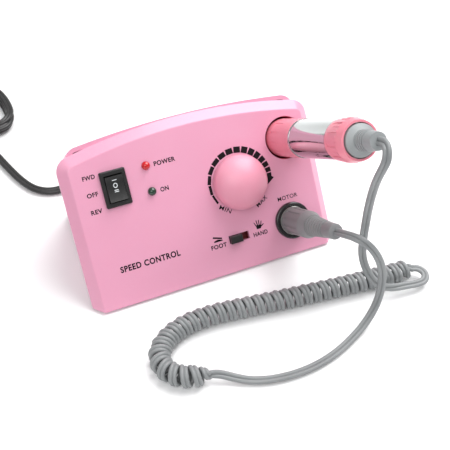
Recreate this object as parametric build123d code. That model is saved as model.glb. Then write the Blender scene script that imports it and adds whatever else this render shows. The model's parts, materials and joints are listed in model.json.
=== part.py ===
from build123d import *
import math
import os

# Electric nail drill: control box, handpiece in its holder, curly motor cord and mains lead.
# Millimetres. +X is right as the user faces the panel, the panel faces -Y, +Z is up.
# Panel measures: u = along X, v = up along the panel from its bottom edge, w = out of the panel.

# ---- overall sizes of the control box
BODY_WIDTH = 155.0
BODY_DEPTH = 94.0
COVER_TOP_V = 98.3
PANEL_LEAN = 34.45
FOOT_HEIGHT = 2.0

# ---- front cover
PANEL_WALL = 2.4
COVER_DEPTH = 7.0
COVER_ARCH_RADIUS = 335.0
COVER_CORNER_RADIUS = 9.0
BEVEL_WIDTH = 5.5
BEVEL_DEPTH = 5.0
BEVEL_SOFTENING = 1.6

# ---- rear shell
SHELL_WALL = 2.2
SHELL_INSET = 4.2
SHELL_TOP_V = 98.9
SHELL_ARCH_RADIUS = 540.0
SHELL_SIDE_DRAFT = 4.0
SHELL_TOP_SLOPE = 42.0
BACK_WALL_LEAN = 16.4
SHELL_FILLET = 8.0
VENT_COUNT = 9
VENT_WIDTH = 1.6
VENT_PITCH = 3.3
VENT_LENGTH = 15.0
TOP_VENT_U = -29.0
BACK_VENT_X = -8.0
BACK_VENT = (2.2, 18.0)
BACK_VENT_HEIGHT = 46.0
BACK_VENT_SCALE = 1.6
VENT_CUT = 14.0

# ---- base, posts, feet
BASE_THICKNESS = 2.5
EDGE_GAP = 0.3
SLIP = 0.05
POST_RADIUS = 3.2
FRONT_POST = (66.3, 14.0)
REAR_POST = (54.0, 81.0)
CASE_SCREW_RADIUS = 1.5
CASE_SCREW_LENGTH = 12.0
CASE_SCREW_HOLE = 15.0
FRONT_POST_TOP = 24.0
REAR_POST_TOP = 45.0
CASE_SCREW_HEAD_RADIUS = 2.9
CASE_SCREW_HEAD = 1.2
FOOT_RADIUS = 6.5
FOOT_PEG_RADIUS = 2.0
FRONT_FOOT = (46.0, 16.0)
REAR_FOOT = (42.0, 80.0)

# ---- speed dial
DIAL_U, DIAL_V = 24.0, 52.1
KNOB_RADIUS = 16.4
KNOB_HEIGHT = 15.5
KNOB_SKIRT = 3.0
KNOB_SHOULDER = 9.0
KNOB_GAP = 0.6
SHAFT_RADIUS = 3.0
BUSH_RADIUS = 3.5
BUSH_LENGTH = 5.5
POT_RADIUS = 8.5
POT_DEPTH = 8.5
POT_LUG_PITCH = 4.0
POT_NUT_RADIUS = 5.6
POT_NUT_HEIGHT = 2.0

# ---- rocker switch
ROCKER_U, ROCKER_V = -48.4, 67.85
ROCKER_BEZEL = (15.0, 21.0, 2.0)
ROCKER_BODY = (12.9, 18.7, 15.0)
ROCKER_WINDOW = (10.8, 15.9)
PADDLE_GAP = 0.3
PADDLE_PIVOT_W = -1.0
PADDLE_PIN_RADIUS = 1.0
TAB = (0.8, 4.0, 7.0)
TAB_SPACING = (3.4, 5.8)

# ---- lamps
LAMP_U = -28.3
POWER_LAMP_V = 75.6
RUN_LAMP_V = 60.4
LAMP_RADIUS = 2.5
LAMP_RISE = 2.6
LAMP_FLANGE_RADIUS = 2.9

# ---- slide switch
SLIDE_U, SLIDE_V = 16.6, 19.6
SLOT = (12.9, 4.9)
SLIDER = (7.4, 4.5)
SLIDER_RISE = 3.4
SLIDER_END_GAP = 0.25
SWITCH_BODY = (20.0, 9.5, 6.0)

# ---- panel circuit board
PANEL_BOARD = (74.0, 64.0, 1.6)
PANEL_BOARD_U, PANEL_BOARD_V = 1.0, 49.0
PANEL_BOARD_W = -13.0
BOARD_POSTS = ((-32.0, 22.0), (34.0, 22.0), (-8.0, 77.0), (33.0, 77.0))
BOARD_POST_RADIUS = 3.0
BOARD_SCREW_RADIUS = 1.2

# ---- motor socket and its plug
SOCKET_U, SOCKET_V = 52.2, 20.3
SOCKET_RING_RADIUS = 11.3
SOCKET_RING_HEIGHT = 2.2
SOCKET_BARREL_RADIUS = 9.6
SOCKET_BORE_RADIUS = 8.6
SOCKET_DEPTH = 10.5
SOCKET_NUT_RADIUS = 10.8
SOCKET_NUT_HEIGHT = 2.6
PLUG_RADIUS = 8.1
PLUG_GRIP_END = 24.3
PLUG_NECK_W = 30.7
PLUG_RIBS_END = 48.9
PLUG_END_W = 58.8
PLUG_SHELL_RADIUS = 6.6
GRIP_GROOVES = 12
GRIP_GROOVE = (1.4, 0.7)
GRIP_LOW = 6.0
PIN_COUNT = 5
PIN_CIRCLE = 3.6
PIN_RADIUS = 0.65

# ---- handpiece and its holder
HOLD_U, HOLD_V = 58.9, 70.2
HOLDER_HOLE_RADIUS = 12.9
CUP_RADIUS = 12.5
CUP_WALL = 1.4
CUP_STRAIGHT = 10.0
CUP_FLANGE = 1.2
CUP_DEPTH = 43.0
CUP_TIP_RADIUS = 4.6
COLLAR_RADIUS = 11.4
COLLAR_FRONT_W = -9.0
COLLAR_FRONT_RADIUS = 9.95
COLLAR_END_W = 28.6
NOSE_TIP_W = -27.0
NOSE_TIP_RADIUS = 5.2
BARREL_RADIUS = 11.0
BARREL_BORE = 8.6
SLEEVE_RADIUS = 9.6
BARREL_END_W = 75.6
RING_RADIUS = 11.3
RING_END_W = 94.0
CAP_RADIUS = BARREL_BORE - SLIP
CAP_RIM = 1.2
CAP_SEAT = 8.0
CAP_SHOULDER_W = 97.0
CAP_NECK_RADIUS = 5.6
CAP_RIBS = 4
CAP_RIB_PITCH = 2.0
CAP_RIB_GROOVE = 0.9
CAP_RIB_DEPTH = 0.7
CAP_END_W = 105.6
CAP_END_RADIUS = 5.2
OUTLET_END_W = 112.0
OUTLET_END_RADIUS = 4.6
SPINDLE_RADIUS = 3.0
BEARING_RADIUS = 6.5
BEARING_WIDTH = 5.0
BEARING_FIT = 0.03
MOTOR_RADIUS = 8.45
MOTOR_START_W = 28.0
MOTOR_END_W = 80.0
ROTOR_RADIUS = 6.6
ROTOR_SHAFT_RADIUS = 1.2
BIT_SHANK_RADIUS = 1.175
BIT_TIP_W = -38.0
HANDPIECE_LIFT = 45.0

# ---- rear fittings
JACK_X, JACK_HEIGHT = 34.0, 30.0
JACK_BORE_RADIUS = 3.25
JACK_BARREL_RADIUS = 4.5
JACK_LENGTH = 22.0
JACK_NUT_RADIUS = 7.0
JACK_NUT_HEIGHT = 2.0
JACK_BORE_LENGTH = 18.0

# ---- power supply
CORE = (46.0, 20.0, 38.0)
CORE_AT = (-8.0, 63.0)
CORE_WINDOW = (10.0, 24.0)
WINDOW_REACH = 12.0
WINDOW_LOW = 11.5
WINDING_OUT = 5.0
STRAP = 0.8
STRAP_WIDTH = 14.0
STRAP_SLACK = 0.1
MAIN_BOARD = (38.0, 42.0, 1.6)
MAIN_BOARD_AT = (44.0, 52.0)
STANDOFF = 4.0
CAPACITOR_RADIUS = 5.0
CAPACITOR_HEIGHT = 14.0

# ---- cords
MOTOR_CORD = 4.6
CURL = 12.0
MAINS_CORD = 5.4
MAINS_PLUG = (26.0, 36.0, 13.7)
MAINS_PIN_RADIUS = 2.0
MAINS_PIN_LENGTH = 19.0
MAINS_PIN_SPACING = 18.6
PLUG_SLEEVE = 14.0
PLUG_SLEEVE_HALF = 4.8
PLUG_SHOULDER = 12.0
PLUG_CORNER = 4.0
FLOOR_MOTOR = MOTOR_CORD / 2 + 0.1
FLOOR_MAINS = MAINS_CORD / 2 + 0.05
CURL_AXIS_Z = CURL / 2 + 0.1
PLUG_AXIS_Z = MAINS_PLUG[2] / 2
EXIT_RUN = 8.5
OUTLET_RUN = 5.2
SPLIT_GAP = 0.3

# ---- strain relief: centre offset from the flange's face, direction and radius at each station
GLAND_X = -38.0
GLAND_HEIGHT = 10.5
GLAND_RADIUS = 4.6
GLAND_FLANGE = 2.0
GLAND_LIP = 2.0
TAIL = (
    ((-0.6, 4.8, 0.7), (-0.25, 0.96, 0.05), 4.2),
    ((-2.6, 9.2, 0.4), (-0.52, 0.84, -0.12), 3.9),
    ((-5.8, 12.8, -0.8), (-0.75, 0.60, -0.28), 3.6),
    ((-10.0, 15.2, -2.6), (-0.88, 0.30, -0.36), 3.3),
)

# ---- cord routes, from one end of each cord to the other
CURL_ROUTE = (
    (102.0, -64.0, CURL_AXIS_Z),
    (70.0, -61.5, CURL_AXIS_Z),
    (38.0, -57.9, CURL_AXIS_Z),
    (8.0, -53.7, CURL_AXIS_Z),
    (-16.0, -50.2, CURL_AXIS_Z),
    (-34.0, -50.6, CURL_AXIS_Z),
    (-48.0, -56.2, CURL_AXIS_Z),
    (-56.0, -65.6, CURL_AXIS_Z),
    (-55.5, -76.5, CURL_AXIS_Z),
    (-47.5, -84.4, CURL_AXIS_Z),
    (-37.0, -86.6, CURL_AXIS_Z),
)
PLUG_LEAD_ROUTE = (
    (54.5, -74.0, 60.6),
    (59.6, -79.0, 58.0),
    (64.6, -81.4, 50.4),
    (68.9, -82.0, 40.0),
    (71.2, -81.8, 28.8),
    (70.6, -82.8, 18.6),
    (66.4, -85.4, 9.8),
    (58.8, -89.0, 4.0),
    (48.0, -94.1, FLOOR_MOTOR),
    (35.6, -99.3, FLOOR_MOTOR),
    (21.6, -102.6, FLOOR_MOTOR),
    (8.1, -103.1, FLOOR_MOTOR),
    (-5.0, -101.2, FLOOR_MOTOR),
    (-15.2, -97.5, FLOOR_MOTOR),
    (-22.6, -93.0, 3.3),
    (-29.6, -88.9, 5.6),
)
LEAD_UPPER_ROUTE = (
    (57.6, -83.8, 126.2),
    (56.2, -87.0, 121.6),
    (56.0, -84.8, 114.5),
    (57.0, -80.6, 104.5),
    (59.0, -76.0, 91.5),
)
LEAD_SPLIT = (61.6, -71.4, 76.0)
LEAD_LOWER_ROUTE = (
    (64.0, -68.0, 60.0),
    (65.8, -65.6, 45.5),
    (67.4, -64.6, 33.5),
    (69.6, -66.4, 24.4),
    (72.8, -69.8, 16.8),
    (78.2, -72.8, 10.6),
    (86.0, -74.2, 7.4),
    (94.2, -74.6, 6.2),
    (101.6, -75.6, 5.4),
    (107.9, -75.2, 5.2),
    (111.2, -69.9, 5.6),
    (108.2, -64.5, CURL_AXIS_Z),
)
MAINS_ROUTE = (
    (-67.0, 91.2, 3.2),
    (-76.0, 93.2, FLOOR_MAINS),
    (-84.0, 100.0, FLOOR_MAINS),
    (-89.8, 112.5, FLOOR_MAINS),
    (-94.2, 127.5, FLOOR_MAINS),
    (-98.4, 143.0, FLOOR_MAINS),
    (-101.5, 157.0, 4.0),
)
MAINS_JOIN = (-101.5, 170.0, 4.0)
PLUG_TAIL_ROUTE = (
    (-100.0, 338.0, 4.0),
    (-100.0, 353.0, 4.0),
    (-110.7, 363.7, 3.6),
    (-125.8, 363.7, 5.0),
    (-136.5, 353.0, PLUG_AXIS_Z),
    (-136.5, 338.0, PLUG_AXIS_Z),
)

# ---- the mains lead's tied hank: two wide ends and a waist, as (x offset, y offset) from each end
HANK_NEAR = (-96.0, 170.0)
HANK_FAR = (-92.0, 338.0)
HANK_HEIGHT = 12.0
HANK_TIE_WIDTH = 16.0
HANK_NEAR_RIGHT = ((12.0, 0.0), (20.0, 14.0), (18.0, 42.0))
HANK_FAR_RIGHT = ((17.0, -40.0), (18.0, -14.0), (10.0, 0.0))
HANK_FAR_LEFT = ((-14.0, 0.0), (-20.0, -14.0), (-18.0, -42.0))
HANK_NEAR_LEFT = ((-17.0, 40.0), (-20.0, 14.0), (-12.0, 0.0))
FLOOR_GAP = 0.05
TIE_Y = 254.0
TIE_REACH = 6.0
TIE_LENGTH = 7.0
TIE_WALL = 0.8
TIE_SLACK = 0.1

# ---- the frame: origin under the middle of the object, panel plane and back wall plane
SIN_LEAN = math.sin(math.radians(PANEL_LEAN))
COS_LEAN = math.cos(math.radians(PANEL_LEAN))
SIN_BACK = math.sin(math.radians(BACK_WALL_LEAN))
COS_BACK = math.cos(math.radians(BACK_WALL_LEAN))
HANDPIECE_FRONT = HOLD_V * SIN_LEAN - CAP_END_W * COS_LEAN - CAP_END_RADIUS * SIN_LEAN
FRONT_Y = -(HANDPIECE_FRONT + BODY_DEPTH) / 2
BASE_Z = FOOT_HEIGHT
PANEL = Plane(origin=(0, FRONT_Y, BASE_Z), x_dir=(1, 0, 0), z_dir=(0, -COS_LEAN, SIN_LEAN))
BACK = Plane(origin=(0, FRONT_Y + BODY_DEPTH, BASE_Z), x_dir=(-1, 0, 0), z_dir=(0, COS_BACK, SIN_BACK))
CLIP = 400.0


def on_panel(shape):
    """Place a shape drawn in panel measures (u, v, w)."""
    return PANEL.location * shape


def panel_point(u, v, w):
    """A point given in panel measures, in the part's frame."""
    return PANEL.from_local_coords(Vector(u, v, w))


def rod(radius, w_low, w_high, u=0.0, v=0.0):
    """A round bar along w."""
    return Pos(u, v, w_low) * Cylinder(radius, w_high - w_low, align=(Align.CENTER, Align.CENTER, Align.MIN))


def block(size_u, size_v, w_low, w_high, u=0.0, v=0.0):
    """A rectangular bar along w."""
    aligned = (Align.CENTER, Align.CENTER, Align.MIN)
    return Pos(u, v, w_low) * Box(size_u, size_v, w_high - w_low, align=aligned)


def turned(profile, u=0.0, v=0.0):
    """A body turned about w from (radius, w) points that close on themselves."""
    face = Plane.XZ * make_face(Polyline(*profile, close=True))
    return Pos(u, v, 0) * revolve(face, axis=Axis.Z)


def above(z_low):
    """Everything at or above a height, as one large block."""
    return Pos(0, 0, z_low) * Box(CLIP, CLIP, CLIP, align=(Align.CENTER, Align.CENTER, Align.MIN))


def upright(radius, z_low, z_high, x, y):
    """A vertical round bar; y is measured from the panel's bottom edge."""
    aligned = (Align.CENTER, Align.CENTER, Align.MIN)
    return Pos(x, FRONT_Y + y, z_low) * Cylinder(radius, z_high - z_low, align=aligned)


# ---- front cover ------------------------------------------------------------------------------
def cover_outline(half_width, top_v, arch_radius, corner_radius):
    """The cover's outline in the panel plane, running on below its bottom edge."""
    tall = top_v + CLIP / 4
    sheet = Pos(0, top_v) * Rectangle(2 * half_width, tall, align=(Align.CENTER, Align.MAX))
    arch = Pos(0, top_v - arch_radius) * Circle(arch_radius)
    outline = sheet & arch
    return fillet(outline.vertices().sort_by(Axis.Y)[-2:], radius=corner_radius)


def cover_block():
    """The cover's outer form: a straight rim and a bevel that narrows to the flat panel."""
    outline = cover_outline(BODY_WIDTH / 2, COVER_TOP_V, COVER_ARCH_RADIUS, COVER_CORNER_RADIUS)
    rim = extrude(Pos(0, 0, -COVER_DEPTH) * outline, amount=COVER_DEPTH - BEVEL_DEPTH)
    slope = math.degrees(math.atan(BEVEL_WIDTH / BEVEL_DEPTH))
    bevel = extrude(Pos(0, 0, -BEVEL_DEPTH) * outline, amount=BEVEL_DEPTH, taper=slope)
    form = rim + bevel
    flat = form.faces().sort_by(Axis.Z)[-1]
    crease = flat.edges().sort_by(Axis.Y)[1:]
    form = fillet(crease, radius=BEVEL_SOFTENING)
    return on_panel(form) & above(BASE_Z)


def rocker_hole():
    """The rocker's cut-out in the panel."""
    return block(ROCKER_BODY[0] + 2 * SLIP, ROCKER_BODY[1] + 2 * SLIP, -CLIP / 8, 1, ROCKER_U, ROCKER_V)


def panel_holes():
    """Every opening in the panel."""
    holes = [
        rocker_hole(),
        rod(BUSH_RADIUS + SLIP, -CLIP / 8, 1, DIAL_U, DIAL_V),
        rod(SOCKET_BARREL_RADIUS + SLIP, -CLIP / 8, 1, SOCKET_U, SOCKET_V),
        rod(HOLDER_HOLE_RADIUS, -CLIP / 8, 1, HOLD_U, HOLD_V),
        block(SLOT[0], SLOT[1], -CLIP / 8, 1, SLIDE_U, SLIDE_V),
    ]
    for lamp_v in (POWER_LAMP_V, RUN_LAMP_V):
        holes.append(rod(LAMP_RADIUS + SLIP, -CLIP / 8, 1, LAMP_U, lamp_v))
    return holes


def cover_cavity(gap, depth):
    """The hollow behind the panel, made smaller by a gap, down to a depth."""
    half = BODY_WIDTH / 2 - SHELL_INSET - SHELL_WALL - gap
    top = COVER_TOP_V - SHELL_WALL - BEVEL_WIDTH - gap
    outline = cover_outline(half, top, COVER_ARCH_RADIUS, 2.0)
    return extrude(Pos(0, 0, -depth) * outline, amount=depth - PANEL_WALL)


def front_cover():
    cover = cover_block() - on_panel(cover_cavity(0, COVER_DEPTH + 1))
    post_low = BASE_Z + BASE_THICKNESS + SLIP
    for side in (-1, 1):
        post = upright(POST_RADIUS, post_low, BASE_Z + FRONT_POST_TOP, side * FRONT_POST[0], FRONT_POST[1])
        cover = cover + (post & cover_fill())
    for post_u, post_v in BOARD_POSTS:
        post = rod(BOARD_POST_RADIUS, PANEL_BOARD_W, -PANEL_WALL + 0.5, post_u, post_v)
        hole = rod(BOARD_SCREW_RADIUS + SLIP, PANEL_BOARD_W - 1, -PANEL_WALL - 2, post_u, post_v)
        cover = cover + on_panel(post) - on_panel(hole)
    for side in (-1, 1):
        hole_top = BASE_Z + CASE_SCREW_HOLE
        cover = cover - upright(CASE_SCREW_RADIUS + SLIP, 0, hole_top, side * FRONT_POST[0], FRONT_POST[1])
    for hole in panel_holes():
        cover = cover - on_panel(hole)
    return cover


def cover_fill():
    """The space behind the panel's front face, which a post may fill up to the panel."""
    fill = extrude(Rectangle(BODY_WIDTH, CLIP), amount=-CLIP / 4)
    return on_panel(Pos(0, 0, -PANEL_WALL / 2) * fill)


# ---- rear shell -------------------------------------------------------------------------------
def shell_half_width(offset, depth_y):
    """Half the shell's width at a depth behind the panel's bottom edge."""
    start = COVER_DEPTH / COS_LEAN
    share = (depth_y - start) / (BODY_DEPTH - start)
    return BODY_WIDTH / 2 - SHELL_INSET - SHELL_SIDE_DRAFT * share - offset


def plan_outline(offset, front_y, back_y):
    """The shell's tapering outline seen from above."""
    front_half = shell_half_width(offset, front_y)
    back_half = shell_half_width(offset, back_y)
    corners = ((-front_half, front_y), (front_half, front_y), (back_half, back_y), (-back_half, back_y))
    return Pos(0, FRONT_Y) * make_face(Polyline(*corners, close=True))


def shell_form(offset, radius, front_w, z_low):
    """The shell's form, moved inwards by offset: arched top, tapering sides and leaning back."""
    top = SHELL_TOP_V - offset
    sheet = Pos(0, top) * Rectangle(BODY_WIDTH, top + CLIP / 2, align=(Align.CENTER, Align.MAX))
    arch = Pos(0, top - SHELL_ARCH_RADIUS) * Circle(SHELL_ARCH_RADIUS)
    slope = math.radians(SHELL_TOP_SLOPE)
    direction = Vector(0, math.cos(slope), -math.sin(slope))
    start = Pos(0, 0, front_w) * (sheet & arch)
    form = extrude(on_panel(start), amount=CLIP / 2, dir=direction)
    plan = extrude(Pos(0, 0, z_low) * plan_outline(offset, -20, BODY_DEPTH + 20), amount=CLIP / 2)
    behind = Plane(BACK.origin - BACK.z_dir * offset, x_dir=BACK.x_dir, z_dir=BACK.z_dir)
    slab = behind.location * Box(CLIP, CLIP, CLIP, align=(Align.CENTER, Align.CENTER, Align.MAX))
    form = form & plan & slab
    front = form.faces().sort_by(Axis(PANEL.origin, PANEL.z_dir))[-1]
    rounded = [edge for edge in form.edges() if is_outer_edge(edge, front, z_low)]
    return fillet(rounded, radius=radius)


def is_outer_edge(edge, front, z_low):
    """Whether an edge is one that the moulding rounds: not on the parting face or the bottom."""
    middle = edge @ 0.5
    off_front = abs((middle - front.center()).dot(PANEL.z_dir)) > 0.5
    return off_front and middle.Z > z_low + 0.5


def rear_shell():
    outer = shell_form(0, SHELL_FILLET, -COVER_DEPTH, BASE_Z)
    inner = shell_form(SHELL_WALL, SHELL_FILLET - SHELL_WALL, -COVER_DEPTH + 3, BASE_Z - 3)
    shell = outer - inner
    for side in (-1, 1):
        post_x = side * REAR_POST[0]
        post_low = BASE_Z + BASE_THICKNESS + SLIP
        post = upright(POST_RADIUS, post_low, BASE_Z + REAR_POST_TOP, post_x, REAR_POST[1])
        shell = shell + (post & outer)
        shell = shell - upright(CASE_SCREW_RADIUS + SLIP, 0, BASE_Z + CASE_SCREW_HOLE, post_x, REAR_POST[1])
    for index in range(VENT_COUNT):
        across = (index - (VENT_COUNT - 1) / 2) * VENT_PITCH
        shell = shell - top_vent(TOP_VENT_U + across)
        shell = shell - back_vent(BACK_VENT_X + BACK_VENT_SCALE * across)
    gland_hole = BACK.location * rod(GLAND_RADIUS + SLIP, -8, 4, -GLAND_X, GLAND_HEIGHT)
    jack_hole = BACK.location * rod(JACK_BARREL_RADIUS + SLIP, -8, 4, -JACK_X, JACK_HEIGHT)
    return shell - gland_hole - jack_hole


def top_vent(x):
    """One slot through the shell's sloping top."""
    top = panel_point(0, SHELL_TOP_V, -COVER_DEPTH)
    slot = Box(VENT_WIDTH, VENT_LENGTH, VENT_CUT)
    return Pos(x, top.Y + 3 + VENT_LENGTH / 2, top.Z - 8) * Rot(-SHELL_TOP_SLOPE, 0, 0) * slot


def back_vent(x):
    """One slot through the shell's back wall."""
    slot = Box(BACK_VENT[0], BACK_VENT[1], VENT_CUT)
    return BACK.location * (Pos(-x, BACK_VENT_HEIGHT, 0) * slot)


# ---- base plate, feet, case screws ------------------------------------------------------------
def post_places():
    """Where the case screws stand, as (x, y from the panel's bottom edge)."""
    return [(side * place[0], place[1]) for place in (FRONT_POST, REAR_POST) for side in (-1, 1)]


def foot_places():
    """Where the feet stand, as (x, y from the panel's bottom edge)."""
    return [(side * place[0], place[1]) for place in (FRONT_FOOT, REAR_FOOT) for side in (-1, 1)]


def base_plate():
    front_edge = (PANEL_WALL / COS_LEAN) + BASE_THICKNESS * SIN_LEAN / COS_LEAN + EDGE_GAP
    back_edge = BODY_DEPTH - SHELL_WALL / COS_BACK - BASE_THICKNESS * SIN_BACK / COS_BACK - EDGE_GAP
    outline = plan_outline(SHELL_WALL + EDGE_GAP, front_edge, back_edge)
    outline = fillet(outline.vertices().sort_by(Axis.Y)[-2:], radius=SHELL_FILLET)
    plate = extrude(Pos(0, 0, BASE_Z) * outline, amount=BASE_THICKNESS)
    for x, y in post_places():
        plate = plate - upright(CASE_SCREW_RADIUS + 0.2, 0, 10, x, y)
        plate = plate - upright(CASE_SCREW_HEAD_RADIUS + 0.2, 0, BASE_Z + CASE_SCREW_HEAD, x, y)
    for x, y in foot_places():
        plate = plate - upright(FOOT_PEG_RADIUS + SLIP, 0, 10, x, y)
    for x, y in standoff_places():
        plate = plate + upright(BOARD_POST_RADIUS, BASE_Z + BASE_THICKNESS - 0.5, main_board_low(), x, y)
        plate = plate - upright(BOARD_SCREW_RADIUS + SLIP, BASE_Z + BASE_THICKNESS, 20, x, y)
    for x, y in strap_screw_places():
        plate = plate - upright(BOARD_SCREW_RADIUS + SLIP, 0, 10, x, y)
    return plate


def rubber_feet():
    feet = []
    for x, y in foot_places():
        pad = fillet(upright(FOOT_RADIUS, 0, FOOT_HEIGHT, x, y).edges().sort_by(Axis.Z)[0], radius=0.6)
        feet.append(pad + upright(FOOT_PEG_RADIUS, FOOT_HEIGHT, FOOT_HEIGHT + BASE_THICKNESS, x, y))
    return feet


def case_screws():
    screws = []
    for x, y in post_places():
        shank = upright(CASE_SCREW_RADIUS, BASE_Z + 0.1, BASE_Z + CASE_SCREW_LENGTH, x, y)
        head = upright(CASE_SCREW_HEAD_RADIUS, BASE_Z + 0.1, BASE_Z + CASE_SCREW_HEAD, x, y)
        cross = Pos(x, FRONT_Y + y, BASE_Z) * (Box(3.6, 0.8, 1.4) + Box(0.8, 3.6, 1.4))
        screws.append(shank + head - cross)
    return screws


# ---- speed dial -------------------------------------------------------------------------------
def speed_knob():
    skirt_top = KNOB_GAP + KNOB_SKIRT
    rise = KNOB_HEIGHT - skirt_top
    centre = KNOB_RADIUS - KNOB_SHOULDER
    drop = (centre**2 - (rise - KNOB_SHOULDER) ** 2) / (2 * (rise - KNOB_SHOULDER))
    crown = math.hypot(centre, drop) + KNOB_SHOULDER
    turn = math.degrees(math.atan2(drop, centre))
    sides = Polyline((0, KNOB_GAP), (KNOB_RADIUS, KNOB_GAP), (KNOB_RADIUS, skirt_top))
    shoulder = CenterArc((centre, skirt_top), KNOB_SHOULDER, 0, turn)
    top = CenterArc((0, skirt_top - drop), crown, turn, 90 - turn)
    face = Plane.XZ * make_face(sides + shoulder + top + Line((0, KNOB_HEIGHT), (0, KNOB_GAP)))
    knob = Pos(DIAL_U, DIAL_V, 0) * revolve(face, axis=Axis.Z)
    hollow = rod(KNOB_RADIUS - 5.5, KNOB_GAP - 1, BUSH_LENGTH + 1, DIAL_U, DIAL_V)
    return on_panel(knob - hollow - shaft_bar(SLIP, 0, KNOB_HEIGHT - 4))


def shaft_bar(clearance, w_low, w_high):
    """The potentiometer's shaft with its flat, grown by a clearance."""
    bar = rod(SHAFT_RADIUS + clearance, w_low, w_high, DIAL_U, DIAL_V)
    flat_v = DIAL_V + SHAFT_RADIUS + 0.1 + clearance
    flat = block(2 * SHAFT_RADIUS + 2, 3, BUSH_LENGTH + 0.5, w_high + 1, DIAL_U, flat_v)
    return bar - flat


def potentiometer():
    body = rod(POT_RADIUS, -PANEL_WALL - POT_DEPTH, -PANEL_WALL, DIAL_U, DIAL_V)
    bush = rod(BUSH_RADIUS, -PANEL_WALL, BUSH_LENGTH, DIAL_U, DIAL_V)
    low = -PANEL_WALL - POT_DEPTH
    lug_v = DIAL_V - POT_RADIUS - 2
    lugs = [block(1.6, 6, low + 1, low + 2, DIAL_U + POT_LUG_PITCH * step, lug_v) for step in (-1, 0, 1)]
    bore = rod(SHAFT_RADIUS + SLIP, low + 1.5, BUSH_LENGTH + 1, DIAL_U, DIAL_V)
    return on_panel(body + bush + lugs - bore)


def dial_nut():
    hexagon = Pos(DIAL_U, DIAL_V, 0) * RegularPolygon(POT_NUT_RADIUS, 6)
    nut = extrude(hexagon, amount=POT_NUT_HEIGHT)
    return on_panel(nut - rod(BUSH_RADIUS + SLIP, -1, POT_NUT_HEIGHT + 1, DIAL_U, DIAL_V))


# ---- rocker switch ----------------------------------------------------------------------------
def rocker_frame():
    bezel = block(ROCKER_BEZEL[0], ROCKER_BEZEL[1], 0, ROCKER_BEZEL[2])
    bezel = fillet(bezel.edges().filter_by(Axis.Z), radius=0.8)
    bezel = chamfer(bezel.faces().sort_by(Axis.Z)[-1].edges(), length=0.6)
    body = block(ROCKER_BODY[0], ROCKER_BODY[1], -ROCKER_BODY[2], 0)
    well = block(ROCKER_WINDOW[0], ROCKER_WINDOW[1], -9, ROCKER_BEZEL[2] + 1)
    hole = Cylinder(PADDLE_PIN_RADIUS + SLIP, ROCKER_BODY[0] - 0.4)
    pivot = Pos(0, 0, PADDLE_PIVOT_W) * Rot(0, 90, 0) * hole
    return on_panel(Pos(ROCKER_U, ROCKER_V, 0) * (bezel + body - well - pivot))


def rocker_paddle():
    half = ROCKER_WINDOW[1] / 2 - 0.75
    wide = ROCKER_WINDOW[0] - 2 * PADDLE_GAP
    sides = Polyline((half, 4.0), (half, -1.0), (3.0, -5.0), (-3.0, -5.0), (-half, -1.0), (-half, 4.0))
    top = ThreePointArc((-half, 4.0), (0, 2.5), (half, 4.0))
    profile = make_face(sides + top)
    paddle = extrude(Plane.YZ * profile, amount=wide / 2, both=True)
    pin_length = ROCKER_WINDOW[0] + 1.2
    pin = Pos(0, 0, PADDLE_PIVOT_W) * Rot(0, 90, 0) * Cylinder(PADDLE_PIN_RADIUS, pin_length)
    return on_panel(Pos(ROCKER_U, ROCKER_V, 0) * (paddle + pin))


def rocker_terminals():
    tabs = []
    for row in (-1, 0, 1):
        for column in (-1, 1):
            tab_u = ROCKER_U + column * TAB_SPACING[0]
            tab_v = ROCKER_V + row * TAB_SPACING[1]
            tab = block(TAB[0], TAB[1], -ROCKER_BODY[2] - TAB[2], -ROCKER_BODY[2], tab_u, tab_v)
            tabs.append(on_panel(tab))
    return tabs


# ---- lamps ------------------------------------------------------------------------------------
def lamp(lamp_v):
    """A round lamp lens: flange behind the panel, stem and dome."""
    stem = rod(LAMP_RADIUS, -PANEL_WALL - 1, LAMP_RISE - LAMP_RADIUS, LAMP_U, lamp_v)
    flange = rod(LAMP_FLANGE_RADIUS, -PANEL_WALL - 1, -PANEL_WALL, LAMP_U, lamp_v)
    dome = Pos(LAMP_U, lamp_v, LAMP_RISE - LAMP_RADIUS) * Sphere(LAMP_RADIUS)
    return on_panel(stem + flange + dome)


def lamp_leads():
    leads = []
    for lamp_v in (POWER_LAMP_V, RUN_LAMP_V):
        for side in (-1, 1):
            lead = block(0.5, 0.5, PANEL_BOARD_W, -PANEL_WALL - 1, LAMP_U + side * 1.27, lamp_v)
            leads.append(on_panel(lead))
    return leads


# ---- slide switch -----------------------------------------------------------------------------
def slide_switch_body():
    low = -PANEL_WALL - SWITCH_BODY[2]
    body = block(SWITCH_BODY[0], SWITCH_BODY[1], low, -PANEL_WALL, SLIDE_U, SLIDE_V)
    return on_panel(body - block(SLOT[0], SLOT[1], low + 2, 0, SLIDE_U, SLIDE_V))


def slide_button():
    left = SLIDE_U - SLOT[0] / 2 + SLIDER_END_GAP + SLIDER[0] / 2
    button = block(SLIDER[0], SLIDER[1], -PANEL_WALL - 3.5, SLIDER_RISE, left, SLIDE_V)
    return on_panel(fillet(button.faces().sort_by(Axis.Z)[-1].edges(), radius=0.5))


def panel_board():
    low = PANEL_BOARD_W - PANEL_BOARD[2]
    board = block(PANEL_BOARD[0], PANEL_BOARD[1], low, PANEL_BOARD_W, PANEL_BOARD_U, PANEL_BOARD_V)
    for post_u, post_v in BOARD_POSTS:
        board = board - rod(BOARD_SCREW_RADIUS + 0.2, PANEL_BOARD_W - 5, PANEL_BOARD_W + 1, post_u, post_v)
    return on_panel(board)


def board_screw(bottom_to_top, head_radius=2.2):
    """A small screw along w whose head sits at its low end."""
    low, high = bottom_to_top
    return rod(BOARD_SCREW_RADIUS, low, high) + rod(head_radius, low - 1.2, low)


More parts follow.
